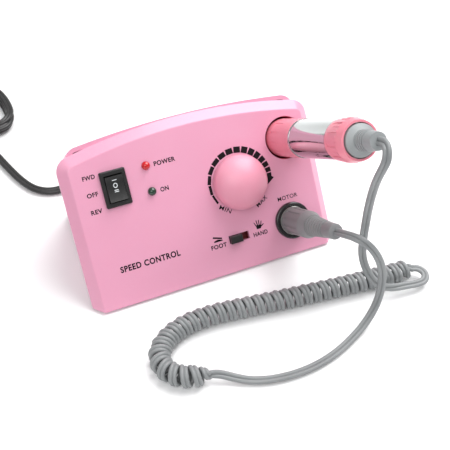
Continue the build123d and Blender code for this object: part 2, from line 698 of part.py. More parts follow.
def board_screws():
    screws = []
    for post_u, post_v in BOARD_POSTS:
        screw = board_screw((PANEL_BOARD_W - PANEL_BOARD[2], PANEL_BOARD_W + 6))
        screws.append(on_panel(Pos(post_u, post_v, 0) * screw))
    for x, y in standoff_places():
        screw = Rot(180, 0, 0) * board_screw((0, 5))
        screws.append(Pos(x, FRONT_Y + y, main_board_low() + MAIN_BOARD[2]) * screw)
    return screws


# ---- motor socket and plug --------------------------------------------------------------------
def motor_socket():
    ring = rod(SOCKET_RING_RADIUS, 0, SOCKET_RING_HEIGHT)
    ring = fillet(ring.edges().sort_by(Axis.Z)[-1], radius=1.2)
    barrel = rod(SOCKET_BARREL_RADIUS, -SOCKET_DEPTH, 0)
    bore = rod(SOCKET_BORE_RADIUS, -SOCKET_DEPTH + 2.5, SOCKET_RING_HEIGHT + 1)
    body = ring + barrel - bore
    for x, y in pin_places():
        body = body - rod(PIN_RADIUS + 0.35, -SOCKET_DEPTH - 1, 0, x, y)
    return on_panel(Pos(SOCKET_U, SOCKET_V, 0) * body)


def pin_places():
    """The plug's pins, spread over three quarters of a circle."""
    step = 180.0 / (PIN_COUNT - 1)
    angles = [math.radians(180 + step * index) for index in range(PIN_COUNT)]
    return [(PIN_CIRCLE * math.cos(angle), PIN_CIRCLE * math.sin(angle)) for angle in angles]


def socket_nut():
    ring = rod(SOCKET_NUT_RADIUS, -PANEL_WALL - SOCKET_NUT_HEIGHT, -PANEL_WALL)
    ring = ring - rod(SOCKET_BARREL_RADIUS + SLIP, -20, 0)
    for turn in range(6):
        ring = ring - Rot(0, 0, 60 * turn) * block(2.0, 1.6, -20, 0, 0, SOCKET_NUT_RADIUS)
    return on_panel(Pos(SOCKET_U, SOCKET_V, 0) * ring)


def socket_contacts():
    contacts = []
    for x, y in pin_places():
        sleeve = rod(PIN_RADIUS + 0.3, -SOCKET_DEPTH - 4, -SOCKET_DEPTH + 2.4, x, y)
        sleeve = sleeve - rod(PIN_RADIUS + SLIP, -SOCKET_DEPTH - 1, 0, x, y)
        contacts.append(on_panel(Pos(SOCKET_U, SOCKET_V, 0) * sleeve))
    return contacts


def plug_shell():
    low = -SOCKET_DEPTH + 3.2
    shell = rod(PLUG_SHELL_RADIUS, low, 3.0) - rod(PLUG_SHELL_RADIUS - 0.6, low - 1, 3.0)
    return on_panel(Pos(SOCKET_U, SOCKET_V, 0) * shell)


def plug_pins():
    pins = []
    for x, y in pin_places():
        pins.append(on_panel(Pos(SOCKET_U, SOCKET_V, 0) * rod(PIN_RADIUS, -SOCKET_DEPTH + 0.5, 3.0, x, y)))
    return pins


def motor_plug():
    profile = (
        (0, 3.0),
        (PLUG_SHELL_RADIUS + SLIP, 3.0),
        (PLUG_SHELL_RADIUS + SLIP, -2.0),
        (PLUG_RADIUS, -2.0),
        (PLUG_RADIUS, PLUG_GRIP_END),
        (PLUG_RADIUS - 1.8, PLUG_NECK_W),
        (0, PLUG_NECK_W),
    )
    grip = turned(profile)
    for turn in range(GRIP_GROOVES):
        groove = block(GRIP_GROOVE[0], GRIP_GROOVE[1], GRIP_LOW, PLUG_GRIP_END - 2, 0, PLUG_RADIUS)
        grip = grip - Rot(0, 0, 360 / GRIP_GROOVES * turn) * groove
    return on_panel(Pos(SOCKET_U, SOCKET_V, 0) * grip)


def ribbed_outlet(w_low, w_high, radius_low, radius_high, ribs_end, rib_count):
    """A flexible cord outlet: a taper with grooves round it and a plain end."""
    profile = ((0, w_low), (radius_low, w_low), (radius_high, ribs_end), (radius_high, w_high), (0, w_high))
    body = turned(profile)
    pitch = (ribs_end - w_low) / (rib_count + 0.5)
    for index in range(rib_count):
        groove_w = w_low + pitch * (index + 0.75)
        groove = rod(radius_low + 2, groove_w, groove_w + pitch * 0.42)
        body = body - (groove - rod(radius_high - 1.0, groove_w - 1, groove_w + 5))
    return body


def plug_outlet():
    body = ribbed_outlet(PLUG_NECK_W, PLUG_END_W, 5.4, 4.2, PLUG_RIBS_END, 6)
    return on_panel(Pos(SOCKET_U, SOCKET_V, 0) * body)


# ---- handpiece holder -------------------------------------------------------------------------
def handpiece_cup():
    top = -PANEL_WALL - SLIP
    outer = CUP_RADIUS + CUP_WALL
    profile = (
        (CUP_RADIUS, top),
        (outer + CUP_FLANGE, top),
        (outer + CUP_FLANGE, top - 1.6),
        (outer, top - 1.6),
        (outer, -CUP_STRAIGHT),
        (CUP_TIP_RADIUS + CUP_WALL, -CUP_DEPTH),
        (0, -CUP_DEPTH),
        (0, -CUP_DEPTH + CUP_WALL),
        (CUP_TIP_RADIUS, -CUP_DEPTH + CUP_WALL),
        (CUP_RADIUS, -CUP_STRAIGHT),
    )
    room = on_panel(cover_cavity(EDGE_GAP, CLIP / 4))
    inside = shell_form(SHELL_WALL + EDGE_GAP, SHELL_FILLET - SHELL_WALL - EDGE_GAP, 0, BASE_Z)
    return on_panel(turned(profile, HOLD_U, HOLD_V)) & room & inside


def held(shape):
    """Place a piece of the handpiece, drawn along w, in the holder."""
    return on_panel(Pos(HOLD_U, HOLD_V, 0) * shape)


def twist_collar():
    profile = (
        (SLEEVE_RADIUS + SLIP, COLLAR_FRONT_W),
        (COLLAR_FRONT_RADIUS, COLLAR_FRONT_W),
        (COLLAR_RADIUS, -PANEL_WALL),
        (COLLAR_RADIUS, COLLAR_END_W - 0.6),
        (COLLAR_RADIUS - 0.6, COLLAR_END_W),
        (SLEEVE_RADIUS + SLIP, COLLAR_END_W),
    )
    collar = turned(profile)
    for turn in range(12):
        collar = collar - Rot(0, 0, 30 * turn) * block(0.9, 0.5, 3.5, COLLAR_END_W - 14.0, 0, COLLAR_RADIUS)
    return held(collar)


def nose_cone():
    rear = COLLAR_FRONT_W - 0.2
    profile = (
        (SPINDLE_RADIUS + 0.8, NOSE_TIP_W),
        (NOSE_TIP_RADIUS, NOSE_TIP_W),
        (COLLAR_FRONT_RADIUS - 1.2, rear),
        (SPINDLE_RADIUS + 0.8, rear),
    )
    return held(turned(profile))


def handpiece_barrel():
    front = COLLAR_FRONT_W + SLIP
    sleeve = rod(SLEEVE_RADIUS, front, RING_END_W - 4) + rod(BARREL_RADIUS, COLLAR_END_W + 0.2, BARREL_END_W)
    bore = rod(BARREL_BORE, MOTOR_START_W - 8, RING_END_W)
    front_bore = rod(BEARING_RADIUS + SLIP, front - 1, MOTOR_START_W - 8)
    return held(sleeve - bore - front_bore)


def rear_ring():
    low = BARREL_END_W + 0.2
    profile = (
        (SLEEVE_RADIUS + SLIP, low),
        (BARREL_RADIUS, low),
        (RING_RADIUS, low + 4),
        (RING_RADIUS, RING_END_W - 5),
        (RING_RADIUS - 1.0, RING_END_W),
        (SLEEVE_RADIUS - 0.4, RING_END_W),
        (SLEEVE_RADIUS - 0.4, RING_END_W - 3.9),
        (SLEEVE_RADIUS + SLIP, RING_END_W - 3.9),
    )
    ring = turned(profile)
    for turn in range(12):
        ring = ring - Rot(0, 0, 30 * turn) * block(1.6, 0.6, low + 3, RING_END_W - 5.5, 0, RING_RADIUS)
    return held(ring)


def end_cap():
    profile = (
        (0, RING_END_W - CAP_SEAT),
        (CAP_RADIUS, RING_END_W - CAP_SEAT),
        (CAP_RADIUS, RING_END_W + CAP_RIM),
        (CAP_NECK_RADIUS, CAP_SHOULDER_W),
        (CAP_END_RADIUS, CAP_END_W),
        (0, CAP_END_W),
    )
    cap = turned(profile)
    for index in range(CAP_RIBS):
        groove_w = CAP_SHOULDER_W + CAP_RIB_PITCH * (index + 0.6)
        groove = rod(CAP_RADIUS, groove_w, groove_w + CAP_RIB_GROOVE)
        cap = cap - (groove - rod(CAP_END_RADIUS - CAP_RIB_DEPTH, groove_w - 1, groove_w + 2))
    return held(cap)


def cord_outlet():
    profile = (
        (0, CAP_END_W),
        (CAP_END_RADIUS, CAP_END_W),
        (OUTLET_END_RADIUS, OUTLET_END_W),
        (0, OUTLET_END_W),
    )
    return held(turned(profile))


def motor_can():
    can = rod(MOTOR_RADIUS, MOTOR_START_W, MOTOR_END_W)
    can = can - rod(MOTOR_RADIUS - 0.8, MOTOR_START_W + 1.5, MOTOR_END_W - 1.5)
    return held(can - rod(ROTOR_SHAFT_RADIUS + SLIP, MOTOR_START_W - 1, MOTOR_END_W + 1))


def rotor():
    shaft = rod(ROTOR_SHAFT_RADIUS, MOTOR_START_W - 5, MOTOR_END_W + 2)
    armature = rod(ROTOR_RADIUS, MOTOR_START_W + 8, MOTOR_END_W - 16)
    commutator = rod(3.0, MOTOR_END_W - 15, MOTOR_END_W - 6)
    for turn in range(5):
        slot = block(1.2, 5.0, MOTOR_START_W, MOTOR_END_W, 0, ROTOR_RADIUS)
        armature = armature - Rot(0, 0, 72 * turn) * slot
    return held(shaft + armature + commutator)


def coupling():
    body = rod(4.6, MOTOR_START_W - 9, MOTOR_START_W - 0.5)
    body = body - rod(ROTOR_SHAFT_RADIUS + SLIP, MOTOR_START_W - 5, MOTOR_START_W)
    return held(body - rod(SPINDLE_RADIUS + SLIP, MOTOR_START_W - 10, MOTOR_START_W - 6))


def spindle_bearings():
    bearings = []
    for low in (COLLAR_FRONT_W + 1.0, MOTOR_START_W - 15):
        high = low + BEARING_WIDTH
        ring = rod(BEARING_RADIUS, low, high) - rod(SPINDLE_RADIUS + BEARING_FIT, low - 1, high + 1)
        bearings.append(held(ring))
    return bearings


def spindle():
    bar = rod(SPINDLE_RADIUS, NOSE_TIP_W - 1.0, MOTOR_START_W - 6.1)
    return held(bar - rod(2.0 + SLIP, NOSE_TIP_W - 2, NOSE_TIP_W + 14))


def collet():
    sleeve = rod(2.0, NOSE_TIP_W - 1.6, NOSE_TIP_W + 12)
    sleeve = sleeve - rod(BIT_SHANK_RADIUS + SLIP, NOSE_TIP_W - 3, NOSE_TIP_W + 13)
    low, high = NOSE_TIP_W - 2, NOSE_TIP_W + 6
    slots = block(5, 0.3, low, high) + block(0.3, 5, low, high)
    return held(sleeve - slots)


def drill_bit():
    shank = rod(BIT_SHANK_RADIUS, BIT_TIP_W + 8, NOSE_TIP_W + 11)
    profile = (
        (0, BIT_TIP_W),
        (1.0, BIT_TIP_W),
        (2.1, BIT_TIP_W + 3),
        (2.1, BIT_TIP_W + 7.4),
        (0.9, BIT_TIP_W + 8.2),
        (0, BIT_TIP_W + 8.2),
    )
    head = turned(profile)
    return held(shank + head)


# ---- power supply -----------------------------------------------------------------------------
def main_board_low():
    """The height of the main board's underside."""
    return BASE_Z + BASE_THICKNESS + STANDOFF


def standoff_places():
    """The main board's four standoffs, as (x, y from the panel's bottom edge)."""
    reach_x, reach_y = MAIN_BOARD[0] / 2 - 4, MAIN_BOARD[1] / 2 - 4
    x, y = MAIN_BOARD_AT
    return [(x + side * reach_x, y + end * reach_y) for side in (-1, 1) for end in (-1, 1)]


def on_base(size, x, y, z_low):
    """An upright block; y is measured from the panel's bottom edge."""
    aligned = (Align.CENTER, Align.CENTER, Align.MIN)
    return Pos(x, FRONT_Y + y, z_low) * Box(*size, align=aligned)


def main_board():
    board = on_base(MAIN_BOARD, MAIN_BOARD_AT[0], MAIN_BOARD_AT[1], main_board_low())
    for x, y in standoff_places():
        board = board - upright(BOARD_SCREW_RADIUS + 0.2, 0, 40, x, y)
    return board


def capacitors():
    low = main_board_low() + MAIN_BOARD[2]
    x, y = MAIN_BOARD_AT
    return [upright(CAPACITOR_RADIUS, low, low + CAPACITOR_HEIGHT, x - 8, y + step) for step in (-9, 3)]


def heat_sink():
    low = main_board_low() + MAIN_BOARD[2]
    x, y = MAIN_BOARD_AT[0] + 8, MAIN_BOARD_AT[1] - 2
    sink = on_base((3.0, 18.0, 15.0), x, y, low)
    for index in range(4):
        sink = sink + on_base((9.0, 1.2, 15.0), x, y - 7.2 + 4.8 * index, low)
    return sink


def strap_screw_places():
    """The transformer strap's two screws, as (x, y from the panel's bottom edge)."""
    reach = CORE[0] / 2 + STRAP + 5
    return [(CORE_AT[0] - reach, CORE_AT[1]), (CORE_AT[0] + reach, CORE_AT[1])]


def transformer_core():
    core = on_base(CORE, CORE_AT[0], CORE_AT[1], BASE_Z + BASE_THICKNESS + SLIP)
    for side in (-1, 1):
        size = (CORE_WINDOW[0], CORE[1] + 2, CORE_WINDOW[1])
        core = core - on_base(size, CORE_AT[0] + side * WINDOW_REACH, CORE_AT[1], WINDOW_LOW)
    return core


def transformer_winding():
    inner_half = WINDOW_REACH - CORE_WINDOW[0] / 2
    size_x = 2 * (inner_half + CORE_WINDOW[0] - 0.4)
    size = (size_x, CORE[1] + 2 * WINDING_OUT, CORE_WINDOW[1] - 0.6)
    wind = on_base(size, CORE_AT[0], CORE_AT[1], WINDOW_LOW + 0.3)
    wind = fillet(wind.edges().filter_by(Axis.Z), radius=4)
    return wind - on_base((2 * inner_half + 0.2, CORE[1] + 0.2, 60), CORE_AT[0], CORE_AT[1], 0)


def transformer_strap():
    low = BASE_Z + BASE_THICKNESS + SLIP
    inner_x, inner_z = CORE[0] + 2 * STRAP_SLACK, CORE[2] + STRAP_SLACK
    outer = on_base((inner_x + 2 * STRAP, STRAP_WIDTH, inner_z + STRAP), CORE_AT[0], CORE_AT[1], low)
    strap = outer - on_base((inner_x, STRAP_WIDTH + 2, inner_z), CORE_AT[0], CORE_AT[1], low)
    for x, y in strap_screw_places():
        strap = strap + on_base((10, STRAP_WIDTH, STRAP), x, y, low)
    for x, y in strap_screw_places():
        strap = strap - upright(BOARD_SCREW_RADIUS + 0.2, 0, 10, x, y)
    return strap


def strap_screws():
    screws = []
    for x, y in strap_screw_places():
        screw = Rot(180, 0, 0) * board_screw((0, 3.2))
        screws.append(Pos(x, FRONT_Y + y, BASE_Z + BASE_THICKNESS + SLIP + STRAP) * screw)
    return screws


def foot_jack():
    body = block(12, 13, -JACK_LENGTH, -SHELL_WALL - SLIP) + rod(JACK_BARREL_RADIUS, -SHELL_WALL - 1, 3.5)
    body = body - rod(JACK_BORE_RADIUS, 3.5 - JACK_BORE_LENGTH, 4)
    return BACK.location * (Pos(-JACK_X, JACK_HEIGHT, 0) * body)


def jack_nut():
    nut = rod(JACK_NUT_RADIUS, 0.05, JACK_NUT_HEIGHT) - rod(JACK_BARREL_RADIUS + SLIP, -1, 5)
    return BACK.location * (Pos(-JACK_X, JACK_HEIGHT, 0) * nut)


# ---- mains lead -------------------------------------------------------------------------------
def gland_face():
    """The middle of the strain relief's outer flange face."""
    return BACK.from_local_coords(Vector(-GLAND_X, GLAND_HEIGHT, GLAND_FLANGE))


def strain_relief():
    neck = rod(GLAND_RADIUS, -SHELL_WALL - 2, GLAND_FLANGE)
    flange = rod(GLAND_RADIUS + GLAND_LIP, FLOOR_GAP, GLAND_FLANGE)
    inside = rod(GLAND_RADIUS + GLAND_LIP, -SHELL_WALL - 2, -SHELL_WALL - SLIP)
    body = BACK.location * (Pos(-GLAND_X, GLAND_HEIGHT, 0) * (neck + flange + inside))
    centre = gland_face()
    sections = [Plane(centre, z_dir=BACK.z_dir) * Circle(GLAND_RADIUS)]
    for offset, direction, radius in TAIL:
        sections.append(Plane(centre + Vector(*offset), z_dir=Vector(*direction)) * Circle(radius))
    return body + loft(sections)


def tail_end():
    """Where the mains lead leaves its strain relief."""
    return gland_face() + Vector(*TAIL[-1][0])


def cord_tube(name, points, diameter):
    """A cord along straight runs joined by tangent arcs as large as the runs allow."""
    places = [Vector(*point) for point in points]
    radii = []
    for before, corner, after in zip(places, places[1:], places[2:]):
        run_in, run_out = corner - before, after - corner
        turn = math.radians(run_in.get_angle(run_out))
        radii.append(0.45 * min(run_in.length, run_out.length) / math.tan(turn / 2))
    path = FilletPolyline(*places, radius=radii)
    tube = sweep(Plane(path @ 0, z_dir=path % 0) * Circle(diameter / 2), path=path)
    share = tube.volume / (math.pi * diameter**2 / 4 * path.length)
    bends = " ".join(f"{radius:.1f}" for radius in radii)
    print(f"{name}: length {path.length:.1f}, volume share {share:.4f}, bend radii {bends}")
    return tube


def axis_step(start, reach):
    """A point further out along the panel's normal."""
    return start + PANEL.z_dir * reach


def curly_cord():
    return cord_tube("curly_cord", CURL_ROUTE, CURL)


def plug_lead():
    start = panel_point(SOCKET_U, SOCKET_V, PLUG_END_W)
    points = (start, axis_step(start, EXIT_RUN)) + PLUG_LEAD_ROUTE + (CURL_ROUTE[-1],)
    return cord_tube("plug_lead", points, MOTOR_CORD)


def handpiece_lead_upper():
    start = panel_point(HOLD_U, HOLD_V, OUTLET_END_W)
    points = (start, axis_step(start, OUTLET_RUN)) + LEAD_UPPER_ROUTE + (LEAD_SPLIT,)
    return cord_tube("handpiece_lead_upper", points, MOTOR_CORD)


def handpiece_lead_lower():
    split = Vector(*LEAD_SPLIT)
    below = Vector(*LEAD_LOWER_ROUTE[0])
    start = split + (below - split).normalized() * SPLIT_GAP
    points = (start,) + LEAD_LOWER_ROUTE + (CURL_ROUTE[0],)
    return cord_tube("handpiece_lead_lower", points, MOTOR_CORD)


def power_lead():
    start = tail_end()
    leaving = start + Vector(*TAIL[-1][1]).normalized() * EXIT_RUN
    points = (start, leaving) + MAINS_ROUTE + (MAINS_JOIN,)
    return cord_tube("power_lead", points, MAINS_CORD)


def plug_tail():
    return cord_tube("plug_tail", PLUG_TAIL_ROUTE, MAINS_CORD)


def beside(end, offsets):
    """Points given as offsets from one end of the hank."""
    return tuple((end[0] + x, end[1] + y) for x, y in offsets)


def hank_outline():
    """The hank seen from above: wide rounded ends and a waist at its tie."""
    middle_x = (HANK_NEAR[0] + HANK_FAR[0]) / 2
    half_tie = HANK_TIE_WIDTH / 2
    right = ((middle_x + half_tie, TIE_Y - TIE_REACH), (middle_x + half_tie, TIE_Y + TIE_REACH))
    left = ((middle_x - half_tie, TIE_Y + TIE_REACH), (middle_x - half_tie, TIE_Y - TIE_REACH))
    points = beside(HANK_NEAR, HANK_NEAR_RIGHT) + right + beside(HANK_FAR, HANK_FAR_RIGHT)
    points = points + beside(HANK_FAR, HANK_FAR_LEFT) + left + beside(HANK_NEAR, HANK_NEAR_LEFT)
    return make_face(Polyline(*points, close=True))


def cord_hank():
    return extrude(Pos(0, 0, FLOOR_GAP) * hank_outline(), amount=HANK_HEIGHT)


def hank_tie():
    middle_x = (HANK_NEAR[0] + HANK_FAR[0]) / 2
    aligned = (Align.CENTER, Align.CENTER, Align.MIN)
    inner_wide = HANK_TIE_WIDTH + 2 * TIE_SLACK
    inner_top = FLOOR_GAP + HANK_HEIGHT + TIE_SLACK
    outer = Box(inner_wide + 2 * TIE_WALL, TIE_LENGTH, inner_top + TIE_WALL, align=aligned)
    inner = Pos(0, 0, -1) * Box(inner_wide, TIE_LENGTH + 2, inner_top + 1, align=aligned)
    return Pos(middle_x, TIE_Y, 0) * (outer - inner)


def mains_plug():
    """A flat two-pin plug: a tapering sleeve on the lead, then a waisted grip."""
    wide, long, tall = MAINS_PLUG
    tip = MAINS_CORD / 2 + 0.2
    half = (
        (tip, 0),
        (PLUG_SLEEVE_HALF, -PLUG_SLEEVE),
        (wide / 2, -PLUG_SLEEVE - PLUG_SHOULDER),
        (wide / 2, -PLUG_SLEEVE - long + PLUG_CORNER),
        (wide / 2 - PLUG_CORNER, -PLUG_SLEEVE - long),
    )
    outline = half + tuple((-x, y) for x, y in reversed(half))
    body = extrude(make_face(Polyline(*outline, close=True)), amount=tall / 2, both=True)
    side = (
        (0, tip),
        (-PLUG_SLEEVE, PLUG_SLEEVE_HALF),
        (-PLUG_SLEEVE - PLUG_SHOULDER, tall / 2),
        (-PLUG_SLEEVE - long, tall / 2),
    )
    flat = side + tuple((y, -z) for y, z in reversed(side))
    slim = extrude(Plane.YZ * make_face(Polyline(*flat, close=True)), amount=wide, both=True)
    end_x, end_y, end_z = PLUG_TAIL_ROUTE[-1]
    return Pos(end_x, end_y, end_z) * (body & slim)


def mains_pins():
    end_x, end_y, end_z = PLUG_TAIL_ROUTE[-1]
    face_y = end_y - PLUG_SLEEVE - MAINS_PLUG[1]
    aligned = (Align.CENTER, Align.CENTER, Align.MIN)
    pin = Rot(90, 0, 0) * Cylinder(MAINS_PIN_RADIUS, MAINS_PIN_LENGTH, align=aligned)
    reach = MAINS_PIN_SPACING / 2
    return [Pos(end_x + side * reach, face_y, end_z) * pin for side in (-1, 1)]


def build():
    """Every piece by its node's name."""
    return {
        "front_cover": front_cover(),
        "rear_shell": rear_shell(),
        "base_plate": base_plate(),
        "rubber_feet": rubber_feet(),
        "case_screws": case_screws(),
        "speed_knob": speed_knob(),
        "dial_shaft": on_panel(shaft_bar(0, -PANEL_WALL - POT_DEPTH + 1.7, KNOB_HEIGHT - 4.2)),
        "potentiometer": potentiometer(),
        "dial_nut": dial_nut(),
        "rocker_frame": rocker_frame(),
        "rocker_paddle": rocker_paddle(),
        "rocker_terminals": rocker_terminals(),
        "power_lamp": lamp(POWER_LAMP_V),
        "run_lamp": lamp(RUN_LAMP_V),
        "lamp_leads": lamp_leads(),
        "slide_switch_body": slide_switch_body(),
        "slide_button": slide_button(),
        "panel_board": panel_board(),
        "board_screws": board_screws(),
        "motor_socket": motor_socket(),
        "socket_nut": socket_nut(),
        "socket_contacts": socket_contacts(),
        "plug_shell": plug_shell(),
        "plug_pins": plug_pins(),
        "motor_plug": motor_plug(),
        "plug_outlet": plug_outlet(),
        "handpiece_cup": handpiece_cup(),
        "twist_collar": twist_collar(),
        "nose_cone": nose_cone(),
        "handpiece_barrel": handpiece_barrel(),
        "rear_ring": rear_ring(),
        "end_cap": end_cap(),
        "cord_outlet": cord_outlet(),
        "motor_can": motor_can(),
        "rotor": rotor(),
        "coupling": coupling(),
        "spindle_bearings": spindle_bearings(),
        "spindle": spindle(),
        "collet": collet(),
        "drill_bit": drill_bit(),
        "main_board": main_board(),
        "capacitors": capacitors(),
        "heat_sink": heat_sink(),
        "transformer_core": transformer_core(),
        "transformer_winding": transformer_winding(),
        "transformer_strap": transformer_strap(),
        "strap_screws": strap_screws(),
        "foot_jack": foot_jack(),
        "jack_nut": jack_nut(),
        "strain_relief": strain_relief(),
        "plug_lead": plug_lead(),
        "curly_cord": curly_cord(),
        "handpiece_lead_upper": handpiece_lead_upper(),
        "handpiece_lead_lower": handpiece_lead_lower(),
        "power_lead": power_lead(),
        "cord_hank": cord_hank(),
        "hank_tie": hank_tie(),
        "plug_tail": plug_tail(),
        "mains_plug": mains_plug(),
        "mains_pins": mains_pins(),
    }


def write(nodes):
    """Write one STEP file for each node."""
    os.makedirs("parts", exist_ok=True)
    for name, shape in nodes.items():
        solids = shape if isinstance(shape, list) else list(shape.solids())
        piece = solids[0] if len(solids) == 1 else Compound(children=solids)
        piece.label = name
        export_step(piece, f"parts/{name}.step")


write(build())
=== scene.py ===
"""Electric nail drill: finishes, printed marks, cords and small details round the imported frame."""

import json
import logging
import math
from dataclasses import dataclass, field
from enum import Enum
from typing import Optional, Sequence

import bmesh
import bpy
import numpy as np
from mathutils import Matrix, Vector

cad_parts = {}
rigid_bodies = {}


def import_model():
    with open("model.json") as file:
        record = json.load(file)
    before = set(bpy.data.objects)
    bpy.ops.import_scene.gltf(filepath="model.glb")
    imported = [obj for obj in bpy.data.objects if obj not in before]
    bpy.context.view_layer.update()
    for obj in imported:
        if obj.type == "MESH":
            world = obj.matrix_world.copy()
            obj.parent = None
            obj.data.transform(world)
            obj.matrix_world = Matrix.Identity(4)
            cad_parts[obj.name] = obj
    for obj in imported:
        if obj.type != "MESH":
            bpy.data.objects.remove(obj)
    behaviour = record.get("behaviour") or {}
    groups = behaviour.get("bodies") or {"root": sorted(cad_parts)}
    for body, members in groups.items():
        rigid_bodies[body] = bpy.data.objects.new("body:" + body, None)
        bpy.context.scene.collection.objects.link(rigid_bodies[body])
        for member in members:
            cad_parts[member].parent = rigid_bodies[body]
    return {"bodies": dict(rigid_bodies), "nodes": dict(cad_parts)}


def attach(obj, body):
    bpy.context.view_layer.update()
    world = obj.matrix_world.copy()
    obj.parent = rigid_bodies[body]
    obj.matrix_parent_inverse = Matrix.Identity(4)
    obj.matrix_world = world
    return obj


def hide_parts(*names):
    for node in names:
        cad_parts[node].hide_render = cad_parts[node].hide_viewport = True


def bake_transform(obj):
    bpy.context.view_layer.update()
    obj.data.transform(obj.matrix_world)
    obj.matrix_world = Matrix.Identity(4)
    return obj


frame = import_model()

LOG = logging.getLogger("nail_drill")
MM = 0.001
MERGE_REACH = 1e-7
TURNED_EDGE = 38.0
CORD_EDGE = 50.0
Point = tuple[float, float, float]
Rgb = tuple[float, float, float]
Spot = tuple[float, float]
SOCKET_AT: Spot = (52.2, 20.3)
HOLDER_AT: Spot = (58.9, 70.2)
DIAL_AT: Spot = (24.0, 52.1)


def clear_leftovers() -> None:
    """Remove whatever the startup file holds besides the frame."""
    kept = set(frame["nodes"].values()) | set(frame["bodies"].values())
    for other in [o for o in bpy.data.objects if o not in kept]:
        bpy.data.objects.remove(other)


clear_leftovers()
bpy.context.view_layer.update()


# ---- small helpers ----------------------------------------------------------------------------
def tint(red: float, green: float, blue: float) -> tuple[float, float, float, float]:
    """A colour given as 0 to 255 screen values, as linear light.

    Args:
        red, green, blue: screen values from 0 to 255.

    Returns:
        The colour with an alpha of one.
    """
    def linear(value: float) -> float:
        """One channel as linear light."""
        share = value / 255.0
        return share / 12.92 if share <= 0.04045 else ((share + 0.055) / 1.055) ** 2.4

    return linear(red), linear(green), linear(blue), 1.0


def add_object(name: str, mesh: bpy.types.Mesh) -> bpy.types.Object:
    """Put a mesh in the scene as an object at the origin.

    Args:
        name: the object's name.
        mesh: its mesh.

    Returns:
        The new object.
    """
    piece = bpy.data.objects.new(name, mesh)
    bpy.context.scene.collection.objects.link(piece)
    return piece


def mesh_from(name: str, points: Sequence, faces: Sequence, smooth: bool = True) -> bpy.types.Mesh:
    """A mesh from points and faces, with its normals made to point outwards.

    Args:
        name: the mesh's name.
        points: corner places, in metres.
        faces: corner indices of each face.
        smooth: whether the faces are shaded smooth.

    Returns:
        The new mesh.
    """
    mesh = bpy.data.meshes.new(name)
    mesh.from_pydata([tuple(p) for p in points], [], [tuple(f) for f in faces])
    work = bmesh.new()
    work.from_mesh(mesh)
    bmesh.ops.remove_doubles(work, verts=work.verts, dist=MERGE_REACH)
    bmesh.ops.recalc_face_normals(work, faces=work.faces)
    work.to_mesh(mesh)
    work.free()
    if smooth:
        mesh.shade_smooth()
    else:
        mesh.shade_flat()
    return mesh


def sharpen(mesh: bpy.types.Mesh, degrees: float) -> None:
    """Mark the edges that turn by more than an angle as sharp.

    Args:
        mesh: the mesh to change.
        degrees: the angle.
    """
    work = bmesh.new()
    work.from_mesh(mesh)
    for edge in work.edges:
        if len(edge.link_faces) == 2:
            edge.smooth = edge.calc_face_angle(0.0) < math.radians(degrees)
    work.to_mesh(mesh)
    work.free()


@dataclass(frozen=True)
class PanelFrame:
    """The panel's own measures: u to the right, v up the panel, w out of it, in millimetres."""

    lean: float = math.radians(34.45)
    front_y: float = -21.8449
    base_z: float = 2.0

    def place(self, u: float = 0.0, v: float = 0.0, w: float = 0.0) -> Matrix:
        """The transform that takes a shape drawn in metres along u, v, w to the panel.

        Args:
            u, v, w: where the shape's own origin goes, in millimetres.

        Returns:
            A transform into the model's frame.
        """
        sine, cosine = math.sin(self.lean), math.cos(self.lean)
        turn = Matrix(((1, 0, 0, 0), (0, sine, -cosine, self.front_y * MM),
                       (0, cosine, sine, self.base_z * MM), (0, 0, 0, 1)))
        return turn @ Matrix.Translation(Vector((u, v, w)) * MM)

    def point(self, u: float, v: float, w: float) -> Vector:
        """A place on the panel, in metres."""
        return self.place(u, v, w) @ Vector((0, 0, 0))


PANEL = PanelFrame()


# ---- shader node groups -----------------------------------------------------------------------
class Wiring:
    """Adds nodes to a tree and joins them up."""

    def __init__(self, tree: bpy.types.NodeTree) -> None:
        """Keep the tree that the nodes go into."""
        self.tree = tree

    def add(self, kind: str, settings: Optional[dict] = None, **values: object) -> bpy.types.Node:
        """Add a node.

        Args:
            kind: the node's type.
            settings: properties to set on the node.
            values: input values, or sockets to link, by the input's name with _ for a space.

        Returns:
            The new node.
        """
        node = self.tree.nodes.new(kind)
        for name, value in (settings or {}).items():
            setattr(node, name, value)
        for name, value in values.items():
            self.feed(node, name.replace("_", " "), value)
        return node

    def feed(self, node: bpy.types.Node, name: str, value: object) -> None:
        """Set an input, or link a socket to it.

        Args:
            node: the node.
            name: the input's name or number.
            value: a value, or a socket to link.
        """
        socket = node.inputs[int(name)] if name.isdigit() else node.inputs[name]
        if isinstance(value, bpy.types.NodeSocket):
            self.tree.links.new(value, socket)
        else:
            socket.default_value = value

    def math(self, operation: str, first: object, second: object = 0.0,
             third: Optional[object] = None) -> bpy.types.NodeSocket:
        """The result of a sum on one, two or three values.

        Args:
            operation: the sum's name.
            first, second, third: numbers, or sockets to link.

        Returns:
            The socket that gives the result.
        """
        node = self.add("ShaderNodeMath", {"operation": operation})
        self.feed(node, "0", first)
        self.feed(node, "1", second)
        if third is not None:
            self.feed(node, "2", third)
        return node.outputs[0]

    def blend(self, share: object, first: object, second: object) -> bpy.types.NodeSocket:
        """A colour part of the way from one colour to another.

        Args:
            share: how far, from 0 to 1, or a socket.
            first, second: the two colours, or sockets.

        Returns:
            The socket that gives the colour.
        """
        node = self.add("ShaderNodeMix", {"data_type": "RGBA"})
        for index, value in ((0, share), (6, first), (7, second)):
            self.feed(node, str(index), value)
        return node.outputs[2]


